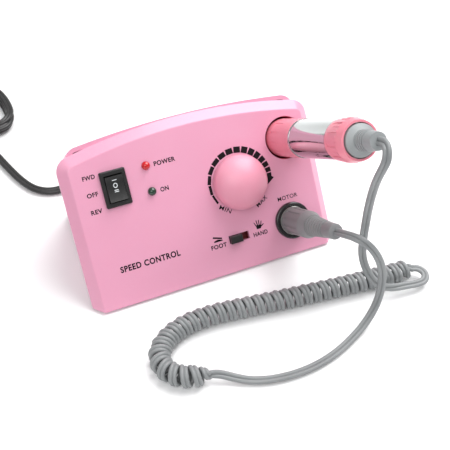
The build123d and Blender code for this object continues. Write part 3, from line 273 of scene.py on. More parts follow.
def shader_group(name: str, inputs: dict[str, tuple[str, object]], outputs: dict[str, str]) -> tuple:
    """Start a shader node group with named sockets.

    Args:
        name: the group's name.
        inputs: each input's socket type and value, by name.
        outputs: each output's socket type, by name.

    Returns:
        The group, its wiring, its input node and its output node.
    """
    group = bpy.data.node_groups.new(name, "ShaderNodeTree")
    for label, (kind, value) in inputs.items():
        socket = group.interface.new_socket(label, in_out="INPUT", socket_type=kind)
        if value is not None:
            socket.default_value = value
    for label, kind in outputs.items():
        group.interface.new_socket(label, in_out="OUTPUT", socket_type=kind)
    wiring = Wiring(group)
    return group, wiring, wiring.add("NodeGroupInput"), wiring.add("NodeGroupOutput")


SPECK_SCALE = 900.0
SMUDGE_SHARE = 4.0
BAND_SHARE = 0.08
FLOAT, VECTOR = "NodeSocketFloat", "NodeSocketVector"


def moulded_grain() -> bpy.types.NodeTree:
    """Fine moulding texture, slow tone drift and handling smudges on plastic or rubber.

    Returns:
        The node group.
    """
    group, wiring, given, result = shader_group(
        "moulded_grain",
        {"Vector": (VECTOR, None), "Grain": (FLOAT, 3000.0), "Cloud": (FLOAT, 25.0), "Relief": (FLOAT, 0.5)},
        {"Height": FLOAT, "Tone": FLOAT, "Smudge": FLOAT})
    vector = given.outputs["Vector"]
    fine = wiring.add("ShaderNodeTexNoise", Vector=vector, Scale=given.outputs["Grain"], Detail=2.0)
    cloud = wiring.add("ShaderNodeTexNoise", Vector=vector, Scale=given.outputs["Cloud"], Detail=3.0)
    wide = wiring.math("MULTIPLY", given.outputs["Cloud"], SMUDGE_SHARE)
    smudge = wiring.add("ShaderNodeTexNoise", Vector=vector, Scale=wide, Detail=5.0, Roughness=0.65)
    wiring.feed(result, "Height", wiring.math("MULTIPLY", fine.outputs[0], given.outputs["Relief"]))
    wiring.feed(result, "Tone", cloud.outputs[0])
    wiring.feed(result, "Smudge", smudge.outputs[0])
    return group


def drawn_lines() -> bpy.types.NodeTree:
    """Fine lines drawn round or along a piece, as turning, brushing or extruding leaves.

    Returns:
        The node group.
    """
    group, wiring, given, result = shader_group(
        "drawn_lines",
        {"Vector": (VECTOR, None), "Stretch": (VECTOR, (1.0, 1.0, 40.0)), "Fineness": (FLOAT, 600.0)},
        {"Height": FLOAT, "Tone": FLOAT})
    spread = wiring.add("ShaderNodeVectorMath", {"operation": "MULTIPLY"})
    wiring.feed(spread, "0", given.outputs["Vector"])
    wiring.feed(spread, "1", given.outputs["Stretch"])
    lines = wiring.add("ShaderNodeTexNoise", Vector=spread.outputs[0],
                       Scale=given.outputs["Fineness"], Detail=3.0)
    slow = wiring.math("MULTIPLY", given.outputs["Fineness"], BAND_SHARE)
    bands = wiring.add("ShaderNodeTexNoise", Vector=spread.outputs[0], Scale=slow, Detail=2.0)
    wiring.feed(result, "Height", lines.outputs[0])
    wiring.feed(result, "Tone", bands.outputs[0])
    return group


def dust_film() -> bpy.types.NodeTree:
    """A thin film of dust that settles on faces turned upwards.

    Returns:
        The node group.
    """
    group, wiring, given, result = shader_group(
        "dust_film",
        {"Vector": (VECTOR, None), "Up": (FLOAT, 0.0), "Amount": (FLOAT, 0.15)},
        {"Mask": FLOAT})
    specks = wiring.add("ShaderNodeTexNoise", Vector=given.outputs["Vector"],
                        Scale=SPECK_SCALE, Detail=4.0)
    film = wiring.math("MULTIPLY", specks.outputs[0], given.outputs["Amount"])
    upwards = wiring.math("MAXIMUM", given.outputs["Up"], 0.0)
    wiring.feed(result, "Mask", wiring.math("MULTIPLY", film, upwards))
    return group


GRAIN = moulded_grain()
LINES = drawn_lines()
DUST = dust_film()


# ---- finishes ---------------------------------------------------------------------------------
DUST_COLOUR: Rgb = (225.0, 222.0, 220.0)
TRACK_COLOUR: Rgb = (70.0, 140.0, 80.0)


class Coordinates(Enum):
    """What a finish's pattern is laid out by."""

    OBJECT = "Object"
    SURFACE = "UV"


@dataclass(frozen=True)
class Finish:
    """A finish that one or more pieces share."""

    name: str
    colour: Rgb

    def shell(self, coordinates: Coordinates = Coordinates.OBJECT) -> tuple:
        """Start the material: its wiring, surface shader and pattern coordinates.

        Args:
            coordinates: what the pattern is laid out by.

        Returns:
            The material, its wiring, its surface shader and the pattern's coordinates.
        """
        material = bpy.data.materials.new(self.name)
        material.use_nodes = True
        wiring = Wiring(material.node_tree)
        shader = material.node_tree.nodes["Principled BSDF"]
        place = wiring.add("ShaderNodeTexCoord").outputs[coordinates.value]
        return material, wiring, shader, place

    def relief(self, wiring: Wiring, shader: bpy.types.Node, height: object, depth: float) -> None:
        """Raise the surface by a height pattern.

        Args:
            wiring: the material's wiring.
            shader: the surface shader.
            height: the socket that gives the height.
            depth: how far it stands out, in metres.
        """
        bump = wiring.add("ShaderNodeBump", Height=height, Strength=1.0, Distance=depth)
        wiring.feed(shader, "Normal", bump.outputs[0])

    def dusty(self, wiring: Wiring, place: object, colour: object, amount: float) -> object:
        """The colour with a little dust on the faces that look up.

        Args:
            wiring: the material's wiring.
            place: the pattern's coordinates.
            colour: the clean colour.
            amount: how much dust.

        Returns:
            The socket that gives the dusty colour.
        """
        normal = wiring.add("ShaderNodeNewGeometry").outputs["Normal"]
        up = wiring.add("ShaderNodeSeparateXYZ", Vector=normal).outputs[2]
        film = wiring.add("ShaderNodeGroup", {"node_tree": DUST}, Vector=place, Up=up, Amount=amount)
        return wiring.blend(film.outputs["Mask"], colour, tint(*DUST_COLOUR))


@dataclass(frozen=True)
class Moulding(Finish):
    """Injection-moulded plastic or rubber."""

    deep: Rgb = (0.0, 0.0, 0.0)
    rough: float = 0.35
    grain: float = 2600.0
    cloud: float = 22.0
    depth: float = 0.00002
    glow: float = 0.0
    coat: float = 0.0
    dust: float = 0.1
    shine: float = 0.5
    unevenness: float = 0.16
    scatter: Point = (0.004, 0.0018, 0.002)
    coat_rough: float = 0.12

    def material(self) -> bpy.types.Material:
        """Build the material: two close tones, fine grain, uneven gloss and a little dust.

        Returns:
            The material.
        """
        material, wiring, shader, place = self.shell()
        group = wiring.add("ShaderNodeGroup", {"node_tree": GRAIN}, Vector=place, Grain=self.grain,
                           Cloud=self.cloud, Relief=0.6)
        colour = wiring.blend(group.outputs["Tone"], tint(*self.deep), tint(*self.colour))
        wiring.feed(shader, "Base Color", self.dusty(wiring, place, colour, self.dust))
        gloss = wiring.math("MULTIPLY", group.outputs["Smudge"], self.unevenness)
        wiring.feed(shader, "Roughness", wiring.math("ADD", gloss, self.rough - self.unevenness / 2))
        self.relief(wiring, shader, group.outputs["Height"], self.depth)
        shader.inputs["Subsurface Weight"].default_value = self.glow
        shader.inputs["Subsurface Radius"].default_value = self.scatter
        shader.inputs["Subsurface Scale"].default_value = 0.5
        shader.inputs["Coat Weight"].default_value = self.coat
        shader.inputs["Coat Roughness"].default_value = self.coat_rough
        shader.inputs["Specular IOR Level"].default_value = self.shine
        return material


@dataclass(frozen=True)
class Metal(Finish):
    """Bare or plated metal with fine drawn or turned lines."""

    deep: Rgb = (90.0, 90.0, 95.0)
    rough: float = 0.22
    fineness: float = 500.0
    stretch: Point = (1.0, 1.0, 1.0)
    depth: float = 0.000004
    unevenness: float = 0.1

    def material(self) -> bpy.types.Material:
        """Build the material: metal whose gloss and tone follow its fine lines.

        Returns:
            The material.
        """
        material, wiring, shader, place = self.shell()
        group = wiring.add("ShaderNodeGroup", {"node_tree": LINES}, Vector=place, Stretch=self.stretch,
                           Fineness=self.fineness)
        colour = wiring.blend(group.outputs["Tone"], tint(*self.deep), tint(*self.colour))
        wiring.feed(shader, "Base Color", colour)
        gloss = wiring.math("MULTIPLY", group.outputs["Height"], self.unevenness)
        wiring.feed(shader, "Roughness", wiring.math("ADD", gloss, self.rough - self.unevenness / 2))
        self.relief(wiring, shader, group.outputs["Height"], self.depth)
        shader.inputs["Metallic"].default_value = 1.0
        return material


@dataclass(frozen=True)
class Lens(Finish):
    """A clear tinted lamp lens."""

    darker: float = 0.75
    grain: float = 1500.0
    cloud: float = 300.0
    rough: float = 0.06
    clearness: float = 0.1
    coat: float = 0.5
    coat_rough: float = 0.04

    def material(self) -> bpy.types.Material:
        """Build the material: tinted, glossy and slightly cloudy inside.

        Returns:
            The material.
        """
        material, wiring, shader, place = self.shell()
        group = wiring.add("ShaderNodeGroup", {"node_tree": GRAIN}, Vector=place, Grain=self.grain,
                           Cloud=self.cloud)
        dark = tuple(self.darker * channel for channel in self.colour)
        colour = wiring.blend(group.outputs["Tone"], tint(*dark), tint(*self.colour))
        wiring.feed(shader, "Base Color", colour)
        shader.inputs["Roughness"].default_value = self.rough
        shader.inputs["Transmission Weight"].default_value = self.clearness
        shader.inputs["Coat Weight"].default_value = self.coat
        shader.inputs["Coat Roughness"].default_value = self.coat_rough
        return material


@dataclass(frozen=True)
class Jacket(Finish):
    """A cord's soft plastic jacket, patterned along its own length."""

    deep: Rgb = (90.0, 92.0, 94.0)
    rough: float = 0.42
    unevenness: float = 0.2
    dust: float = 0.06
    grain: float = 2400.0
    cloud: float = 60.0
    fineness: float = 2.5
    stretch: Point = (8.0, 0.4, 1.0)
    depth: float = 0.00003

    def material(self) -> bpy.types.Material:
        """Build the material: extruding lines along the cord, soft tone changes and dust.

        Returns:
            The material.
        """
        material, wiring, shader, place = self.shell(Coordinates.SURFACE)
        group = wiring.add("ShaderNodeGroup", {"node_tree": LINES}, Vector=place, Stretch=self.stretch,
                           Fineness=self.fineness)
        solid = wiring.add("ShaderNodeTexCoord").outputs["Object"]
        grain = wiring.add("ShaderNodeGroup", {"node_tree": GRAIN}, Vector=solid, Grain=self.grain,
                           Cloud=self.cloud)
        colour = wiring.blend(grain.outputs["Tone"], tint(*self.deep), tint(*self.colour))
        wiring.feed(shader, "Base Color", self.dusty(wiring, solid, colour, self.dust))
        gloss = wiring.math("MULTIPLY", grain.outputs["Smudge"], self.unevenness)
        wiring.feed(shader, "Roughness", wiring.math("ADD", gloss, self.rough - self.unevenness / 2))
        both = wiring.math("ADD", group.outputs["Height"], grain.outputs["Height"])
        self.relief(wiring, shader, both, self.depth)
        return material


@dataclass(frozen=True)
class Board(Finish):
    """A circuit board's solder mask with its copper tracks showing through."""

    fineness: float = 320.0
    depth: float = 0.00003
    rough: float = 0.3

    def material(self) -> bpy.types.Material:
        """Build the material: mask over a pattern of tracks.

        Returns:
            The material.
        """
        material, wiring, shader, place = self.shell()
        tracks = wiring.add("ShaderNodeTexBrick", Vector=place, Scale=self.fineness)
        tracks.inputs["Color1"].default_value = tint(*self.colour)
        tracks.inputs["Color2"].default_value = tint(*self.colour)
        tracks.inputs["Mortar"].default_value = tint(*TRACK_COLOUR)
        wiring.feed(shader, "Base Color", tracks.outputs[0])
        self.relief(wiring, shader, tracks.outputs[1], self.depth)
        shader.inputs["Roughness"].default_value = self.rough
        return material


COVER_PINK = Moulding("cover_pink", (226, 158, 185), deep=(219, 149, 177), rough=0.34, grain=2600.0,
                      cloud=14.0, depth=0.000015, glow=0.1, coat=0.2)
BASE_PINK = Moulding("base_pink", (212, 142, 170), deep=(202, 132, 160), rough=0.5, grain=1800.0,
                     cloud=30.0, depth=0.00004)
KNOB_PINK = Moulding("knob_pink", (228, 152, 174), deep=(221, 141, 164), rough=0.45, grain=2600.0,
                     cloud=40.0, depth=0.00001, glow=0.2, coat=0.12)
GRIP_PINK = Moulding("grip_pink", (238, 142, 158), deep=(230, 128, 148), rough=0.36, grain=2600.0,
                     cloud=60.0, depth=0.00001, glow=0.2, coat=0.15)
# The handpiece cup's deep crimson is painted shade: the pink plastic inside the holder's hole, coloured for
# the shadow and inter-reflection there.
HOLDER_PAINTED_SHADE = Moulding("holder_painted_shade", (214, 40, 76), deep=(184, 24, 58), rough=0.35, grain=2000.0,
                      cloud=60.0)
SWITCH_BLACK = Moulding("switch_black", (20, 20, 21), deep=(9, 9, 10), rough=0.42, grain=2400.0,
                        cloud=90.0, depth=0.00002, glow=0.0, coat=0.0, dust=0.03)
SOCKET_BLACK = Moulding("socket_black", (22, 20, 23), deep=(10, 9, 11), rough=0.25, grain=2400.0,
                        cloud=90.0, depth=0.00001, glow=0.0, coat=0.3, dust=0.02)
SWITCH_RED = Moulding("switch_red", (150, 22, 30), deep=(96, 8, 16), rough=0.45, grain=2400.0,
                      cloud=120.0)
FOOT_RUBBER = Moulding("foot_rubber", (46, 46, 47), deep=(30, 30, 31), rough=0.75, grain=1800.0,
                       cloud=60.0, depth=0.00006)
PLUG_GREY = Moulding("plug_grey", (138, 139, 140), deep=(120, 121, 123), rough=0.5, grain=2200.0,
                     cloud=60.0, depth=0.00003, glow=0.03, coat=0.0, dust=0.05)
CAP_GREY = Moulding("cap_grey", (158, 162, 163), deep=(140, 144, 146), rough=0.48, grain=2200.0,
                    cloud=60.0, depth=0.00003, glow=0.03, coat=0.0, dust=0.05)
PLUG_BLACK = Moulding("plug_black", (44, 44, 46), deep=(28, 28, 30), rough=0.5, grain=2000.0, cloud=60.0,
                      depth=0.00004)
PRINT_BLACK = Moulding("print_black", (22, 14, 20), deep=(12, 8, 12), rough=0.7, grain=3000.0, cloud=90.0,
                       depth=0.000005, glow=0.0, coat=0.0, dust=0.0, shine=0.2)
PRINT_WHITE = Moulding("print_white", (232, 236, 238), deep=(214, 220, 224), rough=0.45, grain=3000.0,
                       cloud=90.0, depth=0.000005)
COUPLING_NYLON = Moulding("coupling_nylon", (226, 224, 212), deep=(210, 208, 196), rough=0.5)
SLEEVE_BLUE = Moulding("sleeve_blue", (30, 36, 62), deep=(20, 24, 44), rough=0.25, grain=2000.0,
                       cloud=90.0, depth=0.00001, glow=0.0, coat=0.4)
TIE_BLACK = Moulding("tie_black", (38, 38, 39), deep=(26, 26, 27), rough=0.45)
CHROME = Metal("chrome", (206, 210, 208), deep=(186, 190, 190), rough=0.09, fineness=260.0,
               stretch=(1.0, 0.3, 0.3), depth=0.000001)
GROUND_STEEL = Metal("ground_steel", (196, 196, 200), deep=(150, 150, 156), rough=0.24)
PLATED_STEEL = Metal("plated_steel", (202, 200, 196), deep=(160, 158, 154), rough=0.3)
PIN_NICKEL = Metal("pin_nickel", (222, 216, 200), deep=(186, 178, 160), rough=0.2)
SINK_ALUMINIUM = Metal("sink_aluminium", (188, 190, 194), deep=(150, 152, 156), rough=0.38,
                       fineness=900.0, stretch=(1.0, 1.0, 0.05))
CORE_IRON = Metal("core_iron", (112, 112, 116), deep=(70, 70, 74), rough=0.5, fineness=700.0,
                  stretch=(0.05, 1.0, 0.05))
WINDING_COPPER = Metal("winding_copper", (200, 120, 64), deep=(140, 74, 34), rough=0.35, fineness=900.0,
                       stretch=(0.1, 0.1, 2.0), depth=0.00004)
# The power lamp's lens is red, and its bright red is painted glow of the lit lamp; the lens gives off no
# light.
RED_LENS_PAINTED_GLOW = Lens("red_lens", (226, 12, 22))
GREEN_LENS = Lens("green_lens", (22, 62, 42))
CORD_GREY = Jacket("cord_grey", (146, 149, 150), deep=(122, 125, 127))
CORD_BLACK = Jacket("cord_black", (30, 30, 31), deep=(16, 16, 17), rough=0.36)
BOARD_GREEN = Board("board_green", (24, 96, 48))

NODE_FINISHES: dict[Finish, tuple[str, ...]] = {
    COVER_PINK: ("front_cover", "rear_shell"),
    BASE_PINK: ("base_plate",),
    KNOB_PINK: ("speed_knob",),
    GRIP_PINK: ("twist_collar", "rear_ring"),
    HOLDER_PAINTED_SHADE: ("handpiece_cup",),
    SWITCH_BLACK: ("rocker_frame", "rocker_paddle", "slide_button"),
    SOCKET_BLACK: ("motor_socket", "foot_jack"),
    SWITCH_RED: ("slide_switch_body",),
    FOOT_RUBBER: ("rubber_feet",),
    PLUG_GREY: ("motor_plug",),
    CAP_GREY: ("end_cap", "cord_outlet"),
    PLUG_BLACK: ("mains_plug", "strain_relief"),
    COUPLING_NYLON: ("coupling",),
    SLEEVE_BLUE: ("capacitors",),
    TIE_BLACK: ("hank_tie",),
    CHROME: ("handpiece_barrel",),
    GROUND_STEEL: ("dial_shaft", "rotor", "spindle", "spindle_bearings", "collet", "nose_cone", "drill_bit"),
    PLATED_STEEL: ("case_screws", "board_screws", "strap_screws", "socket_nut", "dial_nut", "jack_nut",
                   "rocker_terminals", "socket_contacts", "lamp_leads", "potentiometer", "motor_can",
                   "plug_shell"),
    PIN_NICKEL: ("plug_pins", "mains_pins"),
    SINK_ALUMINIUM: ("heat_sink",),
    CORE_IRON: ("transformer_core", "transformer_strap"),
    WINDING_COPPER: ("transformer_winding",),
    RED_LENS_PAINTED_GLOW: ("power_lamp",),
    GREEN_LENS: ("run_lamp",),
    BOARD_GREEN: ("panel_board", "main_board"),
}


@dataclass
class Workshop:
    """Makes each finish's material once and fits pieces to the frame."""

    made: dict[str, bpy.types.Material] = field(default_factory=dict)

    def material(self, finish: Finish) -> bpy.types.Material:
        """The finish's material, made the first time it is asked for.

        Args:
            finish: the finish.

        Returns:
            Its material.
        """
        if finish.name not in self.made:
            self.made[finish.name] = finish.material()
        return self.made[finish.name]

    def dress_nodes(self) -> None:
        """Give every kept CAD node its finish."""
        for finish, names in NODE_FINISHES.items():
            for name in names:
                node = frame["nodes"][name]
                for slot in node.material_slots:
                    slot.material = self.material(finish)
                LOG.info("finish %s on %s", finish.name, name)

    def fit(self, name: str, mesh: bpy.types.Mesh, finish: Finish, body: str,
            replaces: Sequence[str] = ()) -> bpy.types.Object:
        """Place a finished mesh as a piece that rides on a body.

        Args:
            name: the piece's name.
            mesh: its mesh, already in the model's frame.
            finish: its finish.
            body: the body it rides on.
            replaces: CAD nodes that it stands for.

        Returns:
            The piece.
        """
        mesh.materials.clear()
        mesh.materials.append(self.material(finish))
        piece = add_object(name, mesh)
        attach(piece, body)
        if replaces:
            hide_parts(*replaces)
        LOG.info("piece %s rides on %s", name, body)
        return piece


# ---- studio -----------------------------------------------------------------------------------
@dataclass(frozen=True)
class Softbox:
    """One large soft light."""

    name: str
    place: Point
    size: float
    power: float

    def build(self, aim: Vector) -> None:
        """Hang the light and turn it to the object.

        Args:
            aim: the place that it points at.
        """
        data = bpy.data.lights.new(self.name, "AREA")
        data.shape = "DISK"
        data.size = self.size
        data.energy = self.power
        light = bpy.data.objects.new(self.name, data)
        light.location = self.place
        light.rotation_euler = (aim - Vector(self.place)).to_track_quat("-Z", "Y").to_euler()
        bpy.context.scene.collection.objects.link(light)


@dataclass
class Studio:
    """Camera, pale floor and soft light."""

    camera_place: Point = (-0.13069, -0.33014, 0.36477)
    camera_aim: Point = (0.00244, -0.02184, 0.0435)
    lens: float = 66.05
    sensor_width: float = 36.0
    clip_start: float = 0.01
    floor_reach: float = 4.0
    floor_rough: float = 0.55
    floor_shine: float = 0.2
    floor_colour: tuple[float, float, float, float] = (0.97, 0.97, 0.975, 1.0)
    surround_strength: float = 0.95
    surround_levels: tuple[Spot, ...] = (
        (0.0, 0.62), (0.22, 0.5), (0.4, 0.3), (0.52, 0.2), (0.66, 0.5), (1.0, 0.62))
    softboxes: tuple[Softbox, ...] = (
        Softbox("key_light", (0.45, 0.15, 0.85), 0.9, 11.0),
        Softbox("fill_light", (-0.5, -0.6, 0.9), 0.9, 5.0),
    )

    def camera(self) -> None:
        """Set up the camera."""
        data = bpy.data.cameras.new("camera")
        data.lens = self.lens
        data.sensor_width = self.sensor_width
        data.clip_start = self.clip_start
        camera = bpy.data.objects.new("camera", data)
        camera.location = self.camera_place
        view = Vector(self.camera_aim) - Vector(self.camera_place)
        camera.rotation_euler = view.to_track_quat("-Z", "Y").to_euler()
        bpy.context.scene.collection.objects.link(camera)
        bpy.context.scene.camera = camera

    def floor(self) -> None:
        """Lay the pale floor."""
        reach = self.floor_reach
        corners = [(-reach, -reach, 0), (reach, -reach, 0), (reach, reach, 0), (-reach, reach, 0)]
        mesh = mesh_from("studio_floor", corners, [(0, 1, 2, 3)], smooth=False)
        material = bpy.data.materials.new("studio_floor")
        material.use_nodes = True
        shader = material.node_tree.nodes["Principled BSDF"]
        shader.inputs["Base Color"].default_value = self.floor_colour
        shader.inputs["Roughness"].default_value = self.floor_rough
        shader.inputs["Specular IOR Level"].default_value = self.floor_shine
        mesh.materials.append(material)
        add_object("studio_floor", mesh)

    def surround(self) -> None:
        """Light the scene from all round, brighter above, with a plain white behind."""
        world = bpy.data.worlds.new("surround")
        world.use_nodes = True
        bpy.context.scene.world = world
        wiring = Wiring(world.node_tree)
        background = world.node_tree.nodes["Background"]
        direction = wiring.add("ShaderNodeTexCoord").outputs["Generated"]
        height = wiring.add("ShaderNodeSeparateXYZ", Vector=direction).outputs[2]
        level = wiring.math("MULTIPLY_ADD", height, 0.5, 0.5)
        ramp = wiring.add("ShaderNodeValToRGB", Fac=level)
        elements = ramp.color_ramp.elements
        while len(elements) < len(self.surround_levels):
            elements.new(0.5)
        for element, (place, level) in zip(elements, self.surround_levels):
            element.position = place
            element.color = (level, level, level, 1.0)
        seen = wiring.add("ShaderNodeLightPath").outputs["Is Camera Ray"]
        wiring.feed(background, "Color", wiring.blend(seen, ramp.outputs[0], (1.0, 1.0, 1.0, 1.0)))
        background.inputs["Strength"].default_value = self.surround_strength

    def build(self) -> None:
        """Build the camera, floor and lights."""
        self.camera()
        self.floor()
        self.surround()
        for softbox in self.softboxes:
            softbox.build(Vector(self.camera_aim))
        bpy.context.scene.view_settings.view_transform = "Standard"
        LOG.info("studio built")


# ---- cords ------------------------------------------------------------------------------------
def smooth_line(name: str, route: Sequence[Point]) -> np.ndarray:
    """Points along the smooth line that a cord's route gives.

    Args:
        name: a name for the line.
        route: the route's points, in metres.

    Returns:
        The line's points, in order.
    """
    data = bpy.data.curves.new(name, "CURVE")
    data.dimensions = "3D"
    spline = data.splines.new("NURBS")
    spline.points.add(len(route) - 1)
    for knot, place in zip(spline.points, route):
        knot.co = (*place, 1.0)
    spline.order_u = 3
    spline.use_endpoint_u = True
    spline.resolution_u = 16
    holder = bpy.data.objects.new(name, data)
    bpy.context.scene.collection.objects.link(holder)
    line = bpy.data.meshes.new_from_object(holder)
    points = np.array([v.co for v in line.vertices], float)
    bpy.data.objects.remove(holder)
    bpy.data.meshes.remove(line)
    return points


def evenly(points: np.ndarray, step: float) -> np.ndarray:
    """The same line with its points a step apart.

    Args:
        points: the line's points.
        step: how far apart they are to be, in metres.

    Returns:
        The new points.
    """
    reach = np.concatenate(([0.0], np.cumsum(np.linalg.norm(np.diff(points, axis=0), axis=1))))
    count = max(2, int(round(reach[-1] / step)) + 1)
    wanted = np.linspace(0.0, reach[-1], count)
    return np.stack([np.interp(wanted, reach, points[:, axis]) for axis in range(3)], axis=1)


def directions(points: np.ndarray) -> np.ndarray:
    """The line's direction at each of its points."""
    ahead = np.gradient(points, axis=0)
    return ahead / np.linalg.norm(ahead, axis=1, keepdims=True)


def line_length(points: np.ndarray) -> float:
    """The line's length."""
    return float(np.linalg.norm(np.diff(points, axis=0), axis=1).sum())


@dataclass(frozen=True)
class TwinSection:
    """The section of a flat twin cord: two strands side by side with a groove between."""

    width: float
    thickness: float
    neck: float
    corners: int = 9

    def outline(self) -> list[Spot]:
        """The section's corners as (across, through) in metres, going round once.

        Returns:
            The corners.
        """
        radius = self.thickness / 2
        centre = self.width / 2 - radius
        stop = math.pi - math.asin(self.neck / radius)
        angles = [-stop + 2 * stop * i / (self.corners - 1) for i in range(self.corners)]
        right = [(centre + radius * math.cos(a), radius * math.sin(a)) for a in angles]
        return right + [(-x, -y) for x, y in right]

    def girth(self) -> float:
        """The distance round the section."""
        corners = self.outline()
        return sum(math.dist(a, b) for a, b in zip(corners, corners[1:] + corners[:1]))


@dataclass
class TwinCord:
    """A flat twin cord swept along a line."""

    section: TwinSection
    facing: Point = (-0.396, -0.918, 0.0)
    easing: float = 0.16
    wound_from: float = 0.4

    def wide_ways(self, line: np.ndarray, wound: Optional[np.ndarray] = None,
                  axis: Optional[np.ndarray] = None) -> np.ndarray:
        """Which way the section's width points all along, turning gently.

        Args:
            line: the cord's centre line.
            wound: how far each point belongs to a coil, from 0 to 1.
            axis: the coil's own direction at each point.

        Returns:
            One direction for each point, square to the line.
        """
        ahead = directions(line)
        up, facing = np.array((0.0, 0.0, 1.0)), np.array(self.facing)
        steep = np.abs(ahead[:, 2:3])
        target = np.cross(ahead, (1 - steep) * up + steep * facing)
        if wound is not None:
            target = np.where(wound[:, None] > self.wound_from, axis, target)
        ways = np.zeros_like(line)
        way = target[0] / max(np.linalg.norm(target[0]), 1e-9)
        for i, forward in enumerate(ahead):
            way = way - forward * way.dot(forward)
            way /= np.linalg.norm(way)
            goal = target[i] - forward * target[i].dot(forward)
            if goal.dot(way) < 0:
                goal = -goal
            way = way * (1 - self.easing) + goal * self.easing
            way = way - forward * way.dot(forward)
            way /= np.linalg.norm(way)
            ways[i] = way
        return ways

    def mesh(self, name: str, line: np.ndarray, ways: np.ndarray) -> bpy.types.Mesh:
        """The cord's closed tube, with a UV map of distance round and along it, in metres.

        Args:
            name: the mesh's name.
            line: the cord's centre line.
            ways: which way its width points, all along.

        Returns:
            The tube's mesh.
        """
        ahead = directions(line)
        through = np.cross(ahead, ways)
        outline = np.array(self.section.outline())
        count = len(outline)
        rings = line[:, None] + outline[None, :, :1] * ways[:, None] + outline[None, :, 1:] * through[:, None]
        points = rings.reshape(-1, 3)
        faces = []
        for ring in range(len(line) - 1):
            low, high = ring * count, (ring + 1) * count
            for corner in range(count):
                after = (corner + 1) % count
                faces.append((low + corner, low + after, high + after, high + corner))
        last = (len(line) - 1) * count
        faces.append(tuple(reversed(range(count))))
        faces.append(tuple(last + corner for corner in range(count)))
        mesh = bpy.data.meshes.new(name)
        mesh.from_pydata(points.tolist(), [], faces)
        mesh.shade_smooth()
        sharpen(mesh, CORD_EDGE)
        reach = np.concatenate(([0.0], np.cumsum(np.linalg.norm(np.diff(line, axis=0), axis=1))))
        layer = mesh.uv_layers.new(name="along").data
        girth = self.section.girth()
        for face in mesh.polygons:
            for place, loop in enumerate(face.loop_indices):
                ring, corner = divmod(mesh.loops[loop].vertex_index, count)
                if corner == 0 and place in (1, 2) and len(face.vertices) == 4:
                    corner = count
                layer[loop].uv = (corner / count * girth, reach[ring])
        return mesh


def metres(points: Sequence[Point]) -> list[Point]:
    """Points given in millimetres, in metres."""
    return [tuple(value * MM for value in point) for point in points]


